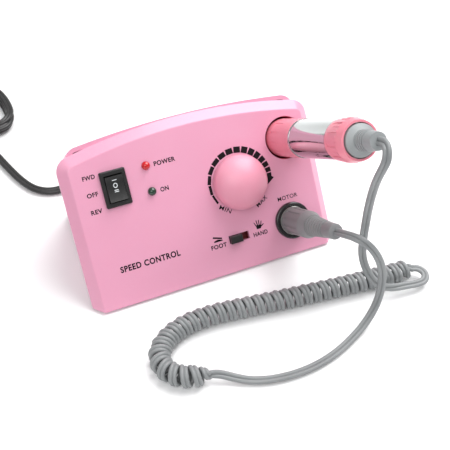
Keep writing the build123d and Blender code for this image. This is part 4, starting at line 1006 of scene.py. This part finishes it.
@dataclass
class MotorCord:
    """The grey cord from the plug through its curly part to the handpiece."""

    plug_at: Point = (*SOCKET_AT, 58.8)
    outlet_at: Point = (*HOLDER_AT, 112.0)
    length: float = 1.44
    coil_radius: float = 0.0048
    coil_pitch: float = 0.00565
    coil_start: float = 0.4
    settle: float = 0.0045
    line_step: float = 0.00025
    ring_gap: float = 0.00115
    straight_out: float = 0.0052
    straight_in: float = 0.0085
    cord: TwinCord = field(default_factory=lambda: TwinCord(TwinSection(0.0047, 0.0025, 0.0004)))
    upper: tuple[Point, ...] = (
        (57.6, -83.8, 126.2), (56.2, -87.0, 121.6), (56.0, -84.8, 114.5), (57.0, -80.6, 104.5),
        (59.0, -76.0, 91.5), (61.6, -71.4, 76.0))
    lower: tuple[Point, ...] = (
        (64.0, -68.0, 60.0), (65.8, -65.6, 45.5), (67.4, -64.6, 33.5), (69.6, -66.4, 24.4),
        (72.8, -69.8, 16.8), (78.2, -72.8, 10.6), (86.0, -74.2, 7.4), (94.2, -74.6, 6.2),
        (101.6, -75.6, 5.4), (107.9, -75.2, 5.2), (111.2, -69.9, 5.6), (108.2, -64.5, 6.1))
    curl: tuple[Point, ...] = (
        (102.0, -64.0, 6.1), (70.0, -61.5, 6.1), (38.0, -57.9, 6.1), (8.0, -53.7, 6.1), (-16.0, -50.2, 6.1),
        (-34.0, -50.6, 6.1), (-48.0, -56.2, 6.1), (-56.0, -65.6, 6.1), (-55.5, -76.5, 6.1),
        (-47.5, -84.4, 6.1), (-37.0, -86.6, 6.1))
    plug_lead: tuple[Point, ...] = (
        (-29.6, -88.9, 5.6), (-22.6, -93.0, 3.3), (-15.2, -97.5, 2.4), (-5.0, -101.2, 2.4),
        (8.1, -103.1, 2.4), (21.6, -102.6, 2.4), (35.6, -99.3, 2.4), (48.0, -94.1, 2.4), (58.8, -89.0, 4.0),
        (66.4, -85.4, 9.8), (70.6, -82.8, 18.6), (71.2, -81.8, 28.8), (68.9, -82.0, 40.0),
        (64.6, -81.4, 50.4), (59.6, -79.0, 58.0), (54.5, -74.0, 60.6))

    def spine(self) -> np.ndarray:
        """The line that the cord follows, with its coil's axis for the curly part.

        Returns:
            The line's points, in metres.
        """
        outlet, plug = PANEL.point(*self.outlet_at), PANEL.point(*self.plug_at)
        out = PANEL.place().to_3x3() @ Vector((0, 0, 1))
        start = [tuple(outlet), tuple(outlet + out * self.straight_out)]
        finish = [tuple(plug + out * self.straight_in), tuple(plug)]
        middle = metres(self.upper + self.lower + self.curl + self.plug_lead)
        return evenly(smooth_line("motor_cord_line", start + middle + finish), self.line_step)

    def wound(self, spine: np.ndarray) -> tuple[np.ndarray, np.ndarray]:
        """How far each point of the spine is wound, from 0 to 1, and its turn angle.

        Args:
            spine: the line that the cord follows.

        Returns:
            The wound share and the angle in radians, for each point.
        """
        ends = [np.array(p) for p in metres((self.curl[0], self.curl[-1]))]
        first, last = sorted(int(np.argmin(np.linalg.norm(spine - end, axis=1))) for end in ends)
        reach = np.arange(len(spine)) * line_length(spine) / (len(spine) - 1)
        rise = np.clip((reach - reach[first] + self.settle) / (2 * self.settle), 0, 1)
        fall = np.clip((reach[last] + self.settle - reach) / (2 * self.settle), 0, 1)
        share = np.minimum(rise, fall)
        share = share * share * (3 - 2 * share)
        turns = (reach - reach[first]) / self.coil_pitch + self.coil_start
        angle = turns * 2 * math.pi
        return share, angle

    def build(self, shop: Workshop) -> bpy.types.Object:
        """Args:
            shop: where its material comes from.

        Returns:
            The cord.
        """
        spine = self.spine()
        ahead = directions(spine)
        side = np.cross(ahead, (0.0, 0.0, 1.0))
        side /= np.maximum(np.linalg.norm(side, axis=1, keepdims=True), 1e-9)
        over = np.cross(side, ahead)
        share, angle = self.wound(spine)
        offset = over * np.cos(angle)[:, None] + side * np.sin(angle)[:, None]
        line = spine + offset * (share * self.coil_radius)[:, None]
        keep = self.thin(line)
        line, share, ahead = line[keep], share[keep], ahead[keep]
        ways = self.cord.wide_ways(line, share, ahead)
        piece = add_object("motor_cord", self.cord.mesh("motor_cord", line, ways))
        piece.data.materials.append(shop.material(CORD_GREY))
        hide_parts("plug_lead", "curly_cord", "handpiece_lead_upper", "handpiece_lead_lower")
        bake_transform(piece)
        tuple(PANEL.point(*self.plug_at))
        LOG.info("motor cord %.3f m long, %d rings", line_length(line), len(line))
        return piece

    def thin(self, line: np.ndarray) -> list[int]:
        """Which points to keep, so that rings stand about a millimetre apart.

        Args:
            line: the cord's centre line.

        Returns:
            The kept points' numbers.
        """
        kept, travelled = [0], 0.0
        for index in range(1, len(line)):
            travelled += float(np.linalg.norm(line[index] - line[index - 1]))
            if travelled >= self.ring_gap or index == len(line) - 1:
                kept.append(index)
                travelled = 0.0
        return kept


@dataclass
class MainsLead:
    """The black mains lead: loose part, tied hank and tail with its plug."""

    length: float = 1.5
    cord: TwinCord = field(default_factory=lambda: TwinCord(TwinSection(0.0054, 0.0031, 0.0007)))
    leaving: tuple[Point, ...] = (
        (-48.32, 89.0, 10.0), (-55.0, 90.0, 7.0), (-67.0, 91.2, 3.2), (-76.0, 93.2, 2.75),
        (-84.0, 100.0, 2.75), (-89.8, 112.5, 2.75), (-94.2, 127.5, 2.75), (-98.4, 143.0, 2.75),
        (-101.5, 157.0, 3.0))
    tail: tuple[Point, ...] = (
        (-100.0, 338.0, 3.0), (-100.0, 353.0, 3.4), (-110.7, 363.7, 3.6), (-125.8, 363.7, 5.0),
        (-136.5, 353.0, 6.85), (-136.5, 338.0, 6.85))
    near_y: float = 176.0
    far_y: float = 332.0
    tie_y: float = 254.0
    line_step: float = 0.0016
    shoulder: float = 0.86
    waist: float = 1.22
    fold_depth: float = 5.0
    fold_shape: tuple[Spot, ...] = ((0.92, -7.0), (0.55, 0.5), (-0.55, 0.5), (-0.92, -7.0))
    end_set: float = 12.0
    fan_set: float = 30.0
    waist_set: float = 26.0
    tie_half: float = 5.0
    end_level: float = 0.55
    fan_level: float = 0.8
    first_x: float = -96.0
    first_y: float = 170.0
    drift: float = 4.0
    drift_over: float = 168.0
    last_fold_heights: tuple[float, ...] = (8.6, 8.2, 5.0, 2.4)
    lanes: tuple[Spot, ...] = (
        (-5.4, 1.75), (5.4, 1.75), (-5.4, 5.1), (5.4, 5.1), (-5.4, 8.5), (5.4, 8.5), (0.0, 1.75))
    spreads: tuple[float, ...] = (16.6, 15.2, 17.4, 16.2, 15.4, 16.8, 7.0)
    end_heights: tuple[float, ...] = (5.2, 3.6, 7.8, 6.6, 10.4, 7.4)
    end_reaches: tuple[float, ...] = (0.0, 1.5, -3.0, 4.0, 2.0, -4.0)

    def middle_x(self, y: float) -> float:
        """The hank's centre line at a distance along it."""
        return self.first_x + self.drift * (y - self.first_y) / self.drift_over

    def run(self, index: int) -> list[Point]:
        """The points of one run of the hank, from end to end through its tie.

        Args:
            index: which run, from 0.

        Returns:
            The run's points in millimetres, in the order that the lead goes.
        """
        lane, height = self.lanes[index]
        spread = math.copysign(self.spreads[index], lane) if lane else -self.spreads[index]
        eased = self.shoulder * spread + (1 - self.shoulder) * lane
        shape = ((self.near_y + self.end_set, spread, self.end_level),
                 (self.near_y + self.fan_set, eased, self.fan_level),
                 (self.tie_y - self.waist_set, lane * self.waist, 1.0),
                 (self.tie_y - self.tie_half, lane, 1.0),
                 (self.tie_y + self.tie_half, lane, 1.0),
                 (self.tie_y + self.waist_set, lane * self.waist, 1.0),
                 (self.far_y - self.fan_set, eased, self.fan_level),
                 (self.far_y - self.end_set, spread, self.end_level))
        rest = self.end_heights[index] if index < len(self.end_heights) else height
        points = [(self.middle_x(y) + offset, y, height * level + rest * (1 - level))
                  for y, offset, level in shape]
        return points if index % 2 == 0 else list(reversed(points))

    def turn(self, index: int) -> list[Point]:
        """The points of the fold that follows one run.

        Args:
            index: which run, from 0.

        Returns:
            The fold's points in millimetres, in the order that the lead goes.
        """
        far = index % 2 == 0
        end_y = self.far_y if far else self.near_y
        outward = 1.0 if far else -1.0
        height, reach = self.end_heights[index], self.end_reaches[index]
        side = -self.spreads[index] if far else self.spreads[index]
        middle = self.middle_x(end_y)
        tip = end_y + outward * (self.fold_depth + 0.5 * reach)
        points = [(middle + side * share, tip + outward * more, height) for share, more in self.fold_shape]
        if index == len(self.end_heights) - 1:
            points = [(x, y, z) for (x, y, _), z in zip(points, self.last_fold_heights)]
        return points

    def build(self, shop: Workshop) -> bpy.types.Object:
        """Args:
            shop: where its material comes from.

        Returns:
            The lead.
        """
        route = list(self.leaving)
        for index in range(len(self.lanes)):
            route += self.run(index)
            if index < len(self.lanes) - 1:
                route += self.turn(index)
        route += self.tail
        line = evenly(smooth_line("mains_line", metres(route)), self.line_step)
        ways = self.cord.wide_ways(line)
        piece = add_object("mains_lead", self.cord.mesh("mains_lead", line, ways))
        piece.data.materials.append(shop.material(CORD_BLACK))
        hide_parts("power_lead", "cord_hank", "plug_tail")
        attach(piece, "root")
        LOG.info("mains lead %.3f m long, %d rings", line_length(line), len(line))
        return piece


# ---- patterns that repeat ---------------------------------------------------------------------
class RepeatTree:
    """A geometry tree that sets blocks round part of a circle, growing from first to last."""

    def __init__(self) -> None:
        """Build the tree with its named inputs."""
        tree = bpy.data.node_groups.new("blocks_round_arc", "GeometryNodeTree")
        face = tree.interface
        face.new_socket("Geometry", in_out="OUTPUT", socket_type="NodeSocketGeometry")
        for name, kind, value in (("Count", "NodeSocketInt", 12), ("Radius", FLOAT, 0.01),
                                  ("First Angle", FLOAT, 0.0), ("Last Angle", FLOAT, 6.0),
                                  ("Bend", FLOAT, 0.0),
                                  ("First Size", VECTOR, (0.001, 0.001, 0.001)),
                                  ("Last Size", VECTOR, (0.001, 0.001, 0.001)),
                                  ("Material", "NodeSocketMaterial", None)):
            socket = face.new_socket(name, in_out="INPUT", socket_type=kind)
            if value is not None:
                socket.default_value = value
        self.tree = tree
        self.wire()

    def wire(self) -> None:
        """Add the nodes and join them."""
        wiring = Wiring(self.tree)
        given = wiring.add("NodeGroupInput")
        result = wiring.add("NodeGroupOutput")
        points = wiring.add("GeometryNodeMeshLine", Count=given.outputs["Count"])
        index = wiring.add("GeometryNodeInputIndex").outputs[0]
        last = wiring.math("SUBTRACT", given.outputs["Count"], 1.0)
        share = wiring.math("DIVIDE", index, last)
        span = wiring.math("SUBTRACT", given.outputs["Last Angle"], given.outputs["First Angle"])
        even = wiring.math("MULTIPLY_ADD", share, span, given.outputs["First Angle"])
        left = wiring.math("SUBTRACT", 1.0, share)
        middle = wiring.math("MULTIPLY", share, left)
        angle = wiring.math("MULTIPLY_ADD", middle, given.outputs["Bend"], even)
        grown = wiring.math("SUBTRACT", 1.0, wiring.math("MULTIPLY", left, left))
        shares = wiring.add("ShaderNodeCombineXYZ", X=grown, Y=share, Z=share)
        size = wiring.add("ShaderNodeMix", {"data_type": "VECTOR", "factor_mode": "NON_UNIFORM"})
        for number, value in ((1, shares.outputs[0]), (4, given.outputs["First Size"]),
                              (5, given.outputs["Last Size"])):
            wiring.feed(size, str(number), value)
        half = wiring.add("ShaderNodeSeparateXYZ", Vector=size.outputs[1]).outputs[0]
        reach = wiring.math("MULTIPLY_ADD", half, 0.5, given.outputs["Radius"])
        across = wiring.math("MULTIPLY", wiring.math("COSINE", angle), reach)
        upward = wiring.math("MULTIPLY", wiring.math("SINE", angle), reach)
        place = wiring.add("ShaderNodeCombineXYZ", X=across, Y=upward)
        moved = wiring.add("GeometryNodeSetPosition", Geometry=points.outputs[0], Position=place.outputs[0])
        turn = wiring.add("ShaderNodeCombineXYZ", Z=angle)
        block = wiring.add("GeometryNodeMeshCube")
        block.inputs["Size"].default_value = (1.0, 1.0, 1.0)
        copies = wiring.add("GeometryNodeInstanceOnPoints", Points=moved.outputs[0],
                            Instance=block.outputs[0], Scale=size.outputs[1])
        wiring.feed(copies, "Rotation", turn.outputs[0])
        real = wiring.add("GeometryNodeRealizeInstances", Geometry=copies.outputs[0])
        dressed = wiring.add("GeometryNodeSetMaterial", Geometry=real.outputs[0],
                             Material=given.outputs["Material"])
        wiring.feed(result, "Geometry", dressed.outputs[0])

    def mesh(self, name: str, settings: dict[str, object], place: Matrix) -> bpy.types.Mesh:
        """Run the tree and give its result as a plain mesh.

        Args:
            name: the mesh's name.
            settings: values for the tree's inputs, by name.
            place: where the pattern goes.

        Returns:
            The pattern's mesh, in the model's frame.
        """
        holder = add_object(name, bpy.data.meshes.new(name))
        modifier = holder.modifiers.new("pattern", "NODES")
        modifier.node_group = self.tree
        for item in self.tree.interface.items_tree:
            if item.item_type == "SOCKET" and item.in_out == "INPUT" and item.name in settings:
                modifier[item.identifier] = settings[item.name]
        graph = bpy.context.evaluated_depsgraph_get()
        result = bpy.data.meshes.new_from_object(holder.evaluated_get(graph))
        holder.modifiers.clear()
        bpy.data.objects.remove(holder)
        result.transform(place)
        result.shade_flat()
        return result


def lathe(name: str, profile: Sequence[Spot], place: Matrix, steps: int = 96) -> bpy.types.Mesh:
    """A closed turned shape.

    Args:
        name: the mesh's name.
        profile: (radius, height) corners in millimetres, from the axis and back to it.
        place: where the shape's axis goes.
        steps: how many sides it has round.

    Returns:
        The turned mesh with its sharp edges marked.
    """
    points, faces = [], []
    for radius, height in profile:
        for step in range(steps):
            turn = 2 * math.pi * step / steps
            corner = Vector((radius * math.cos(turn), radius * math.sin(turn), height))
            points.append(place @ (corner * MM))
    for row in range(len(profile) - 1):
        for step in range(steps):
            after = (step + 1) % steps
            faces.append((row * steps + step, row * steps + after,
                          (row + 1) * steps + after, (row + 1) * steps + step))
    mesh = bpy.data.meshes.new(name)
    mesh.from_pydata([tuple(p) for p in points], [], faces)
    work = bmesh.new()
    work.from_mesh(mesh)
    bmesh.ops.remove_doubles(work, verts=work.verts, dist=MERGE_REACH)
    bmesh.ops.dissolve_degenerate(work, edges=work.edges, dist=1e-8)
    bmesh.ops.recalc_face_normals(work, faces=work.faces)
    work.to_mesh(mesh)
    work.free()
    mesh.shade_smooth()
    sharpen(mesh, TURNED_EDGE)
    return mesh


# ---- printed marks ----------------------------------------------------------------------------
@dataclass(frozen=True)
class Word:
    """A word printed on the panel: its baseline's two ends and its capitals' height, in millimetres."""

    text: str
    start: Spot
    end: Spot
    height: float
    weight: float = 0.03
    spacing: float = 1.1


@dataclass
class PanelMarks:
    """The black marks printed on the panel."""

    print_w: float = 0.04
    thickness: float = 0.00003
    words: tuple[Word, ...] = (
        Word("FWD", (-65.2, 75.9), (-58.0, 75.9), 2.6),
        Word("OFF", (-65.1, 66.0), (-58.6, 66.0), 2.6),
        Word("REV", (-65.2, 56.2), (-58.7, 56.2), 2.6),
        Word("POWER", (-23.5, 74.0), (-10.6, 74.0), 2.7),
        Word("ON", (-23.3, 58.7), (-18.3, 58.7), 2.7),
        Word("MOTOR", (45.7, 33.7), (58.8, 33.7), 2.5, 0.012),
        Word("FOOT", (-1.9, 16.7), (8.0, 16.7), 2.6),
        Word("HAND", (25.7, 17.0), (34.9, 17.0), 2.6),
        Word("MIN", (8.2, 39.6), (14.5, 35.0), 2.6, 0.012),
        Word("MAX", (32.5, 33.8), (39.6, 37.9), 2.6, 0.012),
        Word("SPEED CONTROL", (-57.4, 19.5), (-20.9, 19.5), 3.7, 0.034, 1.12),
    )
    dial: Spot = DIAL_AT
    scale_blocks: int = 14
    scale_radius: float = 0.01715
    scale_from: float = 201.5
    scale_to: float = 6.6
    scale_bend: float = -65.0
    scale_first: Point = (0.0013, 0.0058, 0.00008)
    scale_last: Point = (0.0043, 0.0028, 0.00008)
    arrow_corners: tuple[Spot, ...] = (
        (17.2, -27.0), (16.9, -12.0), (17.0, 0.6), (21.4, 1.0), (21.2, -5.5), (22.6, -8.0))
    palm: tuple[Spot, ...] = ((28.6, 21.2), (31.2, 21.2), (31.9, 23.4), (28.3, 23.6))
    thumb: tuple[Spot, ...] = ((31.0, 21.6), (31.8, 22.9), (33.6, 23.9), (33.2, 23.0))
    fingers: tuple[tuple[float, float, float, float], ...] = (
        (28.6, 27.5, 25.6, 0.34), (29.5, 29.1, 26.6, 0.36),
        (30.5, 30.7, 26.5, 0.36), (31.5, 32.3, 25.6, 0.34))
    knuckle_v: float = 23.0
    pedal_plate: tuple[Spot, ...] = ((0.2, 23.4), (0.6, 24.3), (6.0, 22.6), (5.8, 21.7))
    pedal_wedge: tuple[Spot, ...] = ((0.6, 20.7), (6.0, 20.7), (6.0, 21.3), (3.2, 22.1), (0.6, 21.5))

    def word_mesh(self, word: Word) -> bpy.types.Mesh:
        """One word as a thin mesh in the panel's own measures.

        Args:
            word: the word and its place.

        Returns:
            Its mesh, in the model's frame.
        """
        data = bpy.data.curves.new(word.text, "FONT")
        data.body = word.text
        data.size = 1.0
        data.extrude = 0.5
        data.offset = word.weight
        data.space_character = word.spacing
        holder = bpy.data.objects.new(word.text, data)
        bpy.context.scene.collection.objects.link(holder)
        mesh = bpy.data.meshes.new_from_object(holder)
        bpy.data.objects.remove(holder)
        corners = np.array([v.co for v in mesh.vertices])
        low, high = corners.min(0), corners.max(0)
        run = Vector(word.end) - Vector(word.start)
        scale = Matrix.Diagonal((run.length / (high[0] - low[0]), word.height / (high[1] - low[1]),
                                 self.thickness / MM, 1.0))
        turn = Matrix.Rotation(math.atan2(run.y, run.x), 4, "Z")
        mesh.transform(turn @ scale @ Matrix.Translation((-low[0], -low[1], 0.5)))
        mesh.transform(Matrix.Translation((word.start[0], word.start[1], self.print_w - self.thickness / MM)))
        mesh.transform(PANEL.place() @ Matrix.Scale(MM, 4))
        return mesh

    def flat(self, outline: Sequence[Spot]) -> bpy.types.Mesh:
        """A flat printed shape from its outline in the panel's measures.

        Args:
            outline: the shape's corners, in millimetres.

        Returns:
            Its mesh, in the model's frame.
        """
        count = len(outline)
        points = [PANEL.point(u, v, w) for w in (0.0, self.print_w) for u, v in outline]
        faces = [tuple(range(count)), tuple(range(count, 2 * count))]
        faces += [(i, (i + 1) % count, count + (i + 1) % count, count + i) for i in range(count)]
        return mesh_from("mark", points, faces, smooth=False)

    def arrow(self) -> bpy.types.Mesh:
        """The scale's arrow at its fast end.

        Returns:
            Its mesh.
        """
        u, v = self.dial
        corners = []
        for radius, degrees in self.arrow_corners:
            angle = math.radians(degrees)
            corners.append((u + radius * math.cos(angle), v + radius * math.sin(angle)))
        return self.flat(corners)

    def hand_mark(self) -> list[bpy.types.Mesh]:
        """A small open hand: a palm, four fingers and a thumb.

        Returns:
            The meshes that make it up.
        """
        shapes = [self.flat(self.palm)]
        for root_u, tip_u, tip_v, half in self.fingers:
            shapes.append(self.flat(((root_u - half, self.knuckle_v), (root_u + half, self.knuckle_v),
                                     (tip_u + half * 0.7, tip_v), (tip_u - half * 0.7, tip_v))))
        shapes.append(self.flat(self.thumb))
        return shapes

    def foot_mark(self) -> list[bpy.types.Mesh]:
        """A small foot pedal seen from its side: a tilted plate on a wedge."""
        return [self.flat(self.pedal_plate), self.flat(self.pedal_wedge)]

    def build(self, shop: Workshop, arcs: RepeatTree) -> None:
        """Print the words, the pictures and the dial's scale.

        Args:
            shop: where the material comes from.
            arcs: the tree that sets out the scale.
        """
        shapes = [self.word_mesh(word) for word in self.words] + self.hand_mark() + self.foot_mark()
        shapes.append(self.arrow())
        shop.fit("panel_print", joined("panel_print", shapes), PRINT_BLACK, "root")
        scale = arcs.mesh("dial_scale", {
            "Count": self.scale_blocks, "Radius": self.scale_radius,
            "First Angle": math.radians(self.scale_from), "Last Angle": math.radians(self.scale_to),
            "Bend": math.radians(self.scale_bend),
            "First Size": self.scale_first, "Last Size": self.scale_last,
            "Material": shop.material(PRINT_BLACK)}, PANEL.place(*self.dial))
        shop.fit("dial_scale", scale, PRINT_BLACK, "root")


def joined(name: str, meshes: Sequence[bpy.types.Mesh]) -> bpy.types.Mesh:
    """Several meshes as one, without their materials.

    Args:
        name: the new mesh's name.
        meshes: the meshes to join, which are then removed.

    Returns:
        The joined mesh.
    """
    work = bmesh.new()
    for mesh in meshes:
        work.from_mesh(mesh)
    result = bpy.data.meshes.new(name)
    work.to_mesh(result)
    work.free()
    for mesh in meshes:
        bpy.data.meshes.remove(mesh)
    for face in result.polygons:
        face.material_index = 0
    return result


@dataclass
class RockerMarks:
    """The rocker's three white position marks, printed up its middle."""

    centre: Spot = (-48.4, 67.85)
    dish_floor: float = 2.5
    dish_rise: float = 1.5
    dish_reach: float = 7.2
    proud: float = 0.05
    sunk: float = -0.2
    ring_v: float = 69.6
    ring_inner: float = 0.85
    ring_outer: float = 1.25
    ring_stretch: float = 1.15
    ring_steps: int = 28
    bar_half: float = 0.2
    upper_bar: Spot = (72.7, 1.3)
    lower_bars: tuple[Spot, ...] = ((66.9, 1.2), (66.0, 1.2))

    def bar(self, v: float, half_u: float, half_v: float) -> bpy.types.Mesh:
        """One short white bar.

        Args:
            v: its place up the panel.
            half_u, half_v: half its width and height.

        Returns:
            Its mesh.
        """
        u = self.centre[0]
        corners = [(u + a * half_u, v + b * half_v) for a, b in ((-1, -1), (1, -1), (1, 1), (-1, 1))]
        points = [PANEL.point(x, y, self.height(y) + w) for w in (self.sunk, self.proud) for x, y in corners]
        faces = [(0, 1, 2, 3), (4, 5, 6, 7), (0, 1, 5, 4), (1, 2, 6, 5), (2, 3, 7, 6), (3, 0, 4, 7)]
        return mesh_from("bar", points, faces, smooth=False)

    def height(self, v: float) -> float:
        """How high the paddle's dished top stands at a place up the panel."""
        return self.dish_floor + self.dish_rise * ((v - self.centre[1]) / self.dish_reach) ** 2

    def ring(self, v: float) -> bpy.types.Mesh:
        """The round mark of the middle position.

        Args:
            v: its place up the panel.

        Returns:
            Its mesh.
        """
        steps = self.ring_steps
        inner, outer = self.ring_inner, self.ring_outer
        points, faces = [], []
        for step in range(steps):
            turn = 2 * math.pi * step / steps
            for radius, w in ((inner, self.proud), (outer, self.proud), (outer, self.sunk),
                              (inner, self.sunk)):
                y = v + radius * self.ring_stretch * math.sin(turn)
                points.append(PANEL.point(self.centre[0] + radius * math.cos(turn), y, self.height(y) + w))
        for step in range(steps):
            here, after = 4 * step, 4 * ((step + 1) % steps)
            faces += [(here + i, here + (i + 1) % 4, after + (i + 1) % 4, after + i) for i in range(4)]
        return mesh_from("ring", points, faces, smooth=False)

    def build(self, shop: Workshop) -> None:
        """Print the marks on the paddle.

        Args:
            shop: where the material comes from.
        """
        shapes = [self.bar(*self.upper_bar, self.bar_half), self.ring(self.ring_v)]
        shapes += [self.bar(v, half_u, self.bar_half) for v, half_u in self.lower_bars]
        shop.fit("rocker_marks", joined("rocker_marks", shapes), PRINT_WHITE, "rocker")


@dataclass
class PlugDetails:
    """The ribbed neck of the motor plug and the silver rim round it."""

    at: Spot = SOCKET_AT
    neck_w: float = 30.7
    ribs_end: float = 48.9
    end_w: float = 58.8
    ribs: int = 7
    root_radius: float = 5.9
    taper: float = 1.3
    rib_shape: tuple[Spot, ...] = (
        (0.05, 0.0), (0.14, 0.1), (0.4, 0.1), (0.5, -0.2), (0.53, -1.5), (0.92, -1.55), (0.96, -0.2))
    rim_shape: tuple[Spot, ...] = (
        (8.15, 1.0), (8.6, 1.0), (8.6, 2.3), (8.5, 2.4), (8.25, 2.4), (8.15, 2.3), (8.15, 1.0))

    def neck_profile(self) -> list[Spot]:
        """The neck's (radius, height) corners, with a rounded rib at each pitch.

        Returns:
            The corners, in millimetres.
        """
        profile = [(0.0, self.neck_w), (self.root_radius, self.neck_w)]
        pitch = (self.ribs_end - self.neck_w) / self.ribs
        for index in range(self.ribs):
            share = index / self.ribs
            radius = self.root_radius - self.taper * share
            low = self.neck_w + pitch * index
            for along, out in self.rib_shape:
                profile.append((radius + out, low + pitch * along))
        profile += [(4.6, self.ribs_end), (4.5, self.end_w - 1.2), (4.2, self.end_w - 0.3), (3.7, self.end_w),
                    (0.0, self.end_w)]
        return profile

    def build(self, shop: Workshop) -> None:
        """Build the neck and the rim.

        Args:
            shop: where the materials come from.
        """
        place = PANEL.place(*self.at)
        neck = lathe("plug_neck", self.neck_profile(), place)
        shop.fit("plug_neck", neck, PLUG_GREY, "root", ("plug_outlet",))
        rim = lathe("socket_rim", self.rim_shape, place)
        shop.fit("socket_rim", rim, PLATED_STEEL, "root")


@dataclass
class HandpieceDetails:
    """The bright band and the ring's grip ridges on the handpiece."""

    at: Spot = HOLDER_AT
    band_shape: tuple[Spot, ...] = (
        (11.0, 28.85), (11.2, 28.9), (11.3, 29.3), (11.3, 30.3), (11.15, 30.6), (11.0, 30.65))
    ridges: int = 24
    ridge_radius: float = 0.0111
    ridge_size: Point = (0.0004, 0.0010, 0.006)
    ridge_w: float = 85.5

    def build(self, shop: Workshop, arcs: RepeatTree) -> None:
        """Add the bright band between collar and barrel and the rear ring's ridges.

        Args:
            shop: where the materials come from.
            arcs: the tree that sets out the ridges.
        """
        place = PANEL.place(*self.at)
        band = lathe("collar_band", self.band_shape, place)
        shop.fit("collar_band", band, CHROME, "handpiece")
        ridges = arcs.mesh("ring_ridges", {
            "Count": self.ridges, "Radius": self.ridge_radius,
            "First Angle": math.pi / self.ridges, "Last Angle": 2 * math.pi - math.pi / self.ridges,
            "First Size": self.ridge_size, "Last Size": self.ridge_size,
            "Material": shop.material(GRIP_PINK)}, PANEL.place(*self.at, self.ridge_w))
        shop.fit("ring_ridges", ridges, GRIP_PINK, "handpiece")


def main() -> None:
    """Build the studio, the cords and every other piece in order."""
    logging.basicConfig(level=logging.INFO, format="%(message)s")
    shop = Workshop()
    Studio().build()
    MotorCord().build(shop)
    MainsLead().build(shop)
    shop.dress_nodes()
    arcs = RepeatTree()
    PanelMarks().build(shop, arcs)
    RockerMarks().build(shop)
    PlugDetails().build(shop)
    HandpieceDetails().build(shop, arcs)


if __name__ == "__main__":
    main()
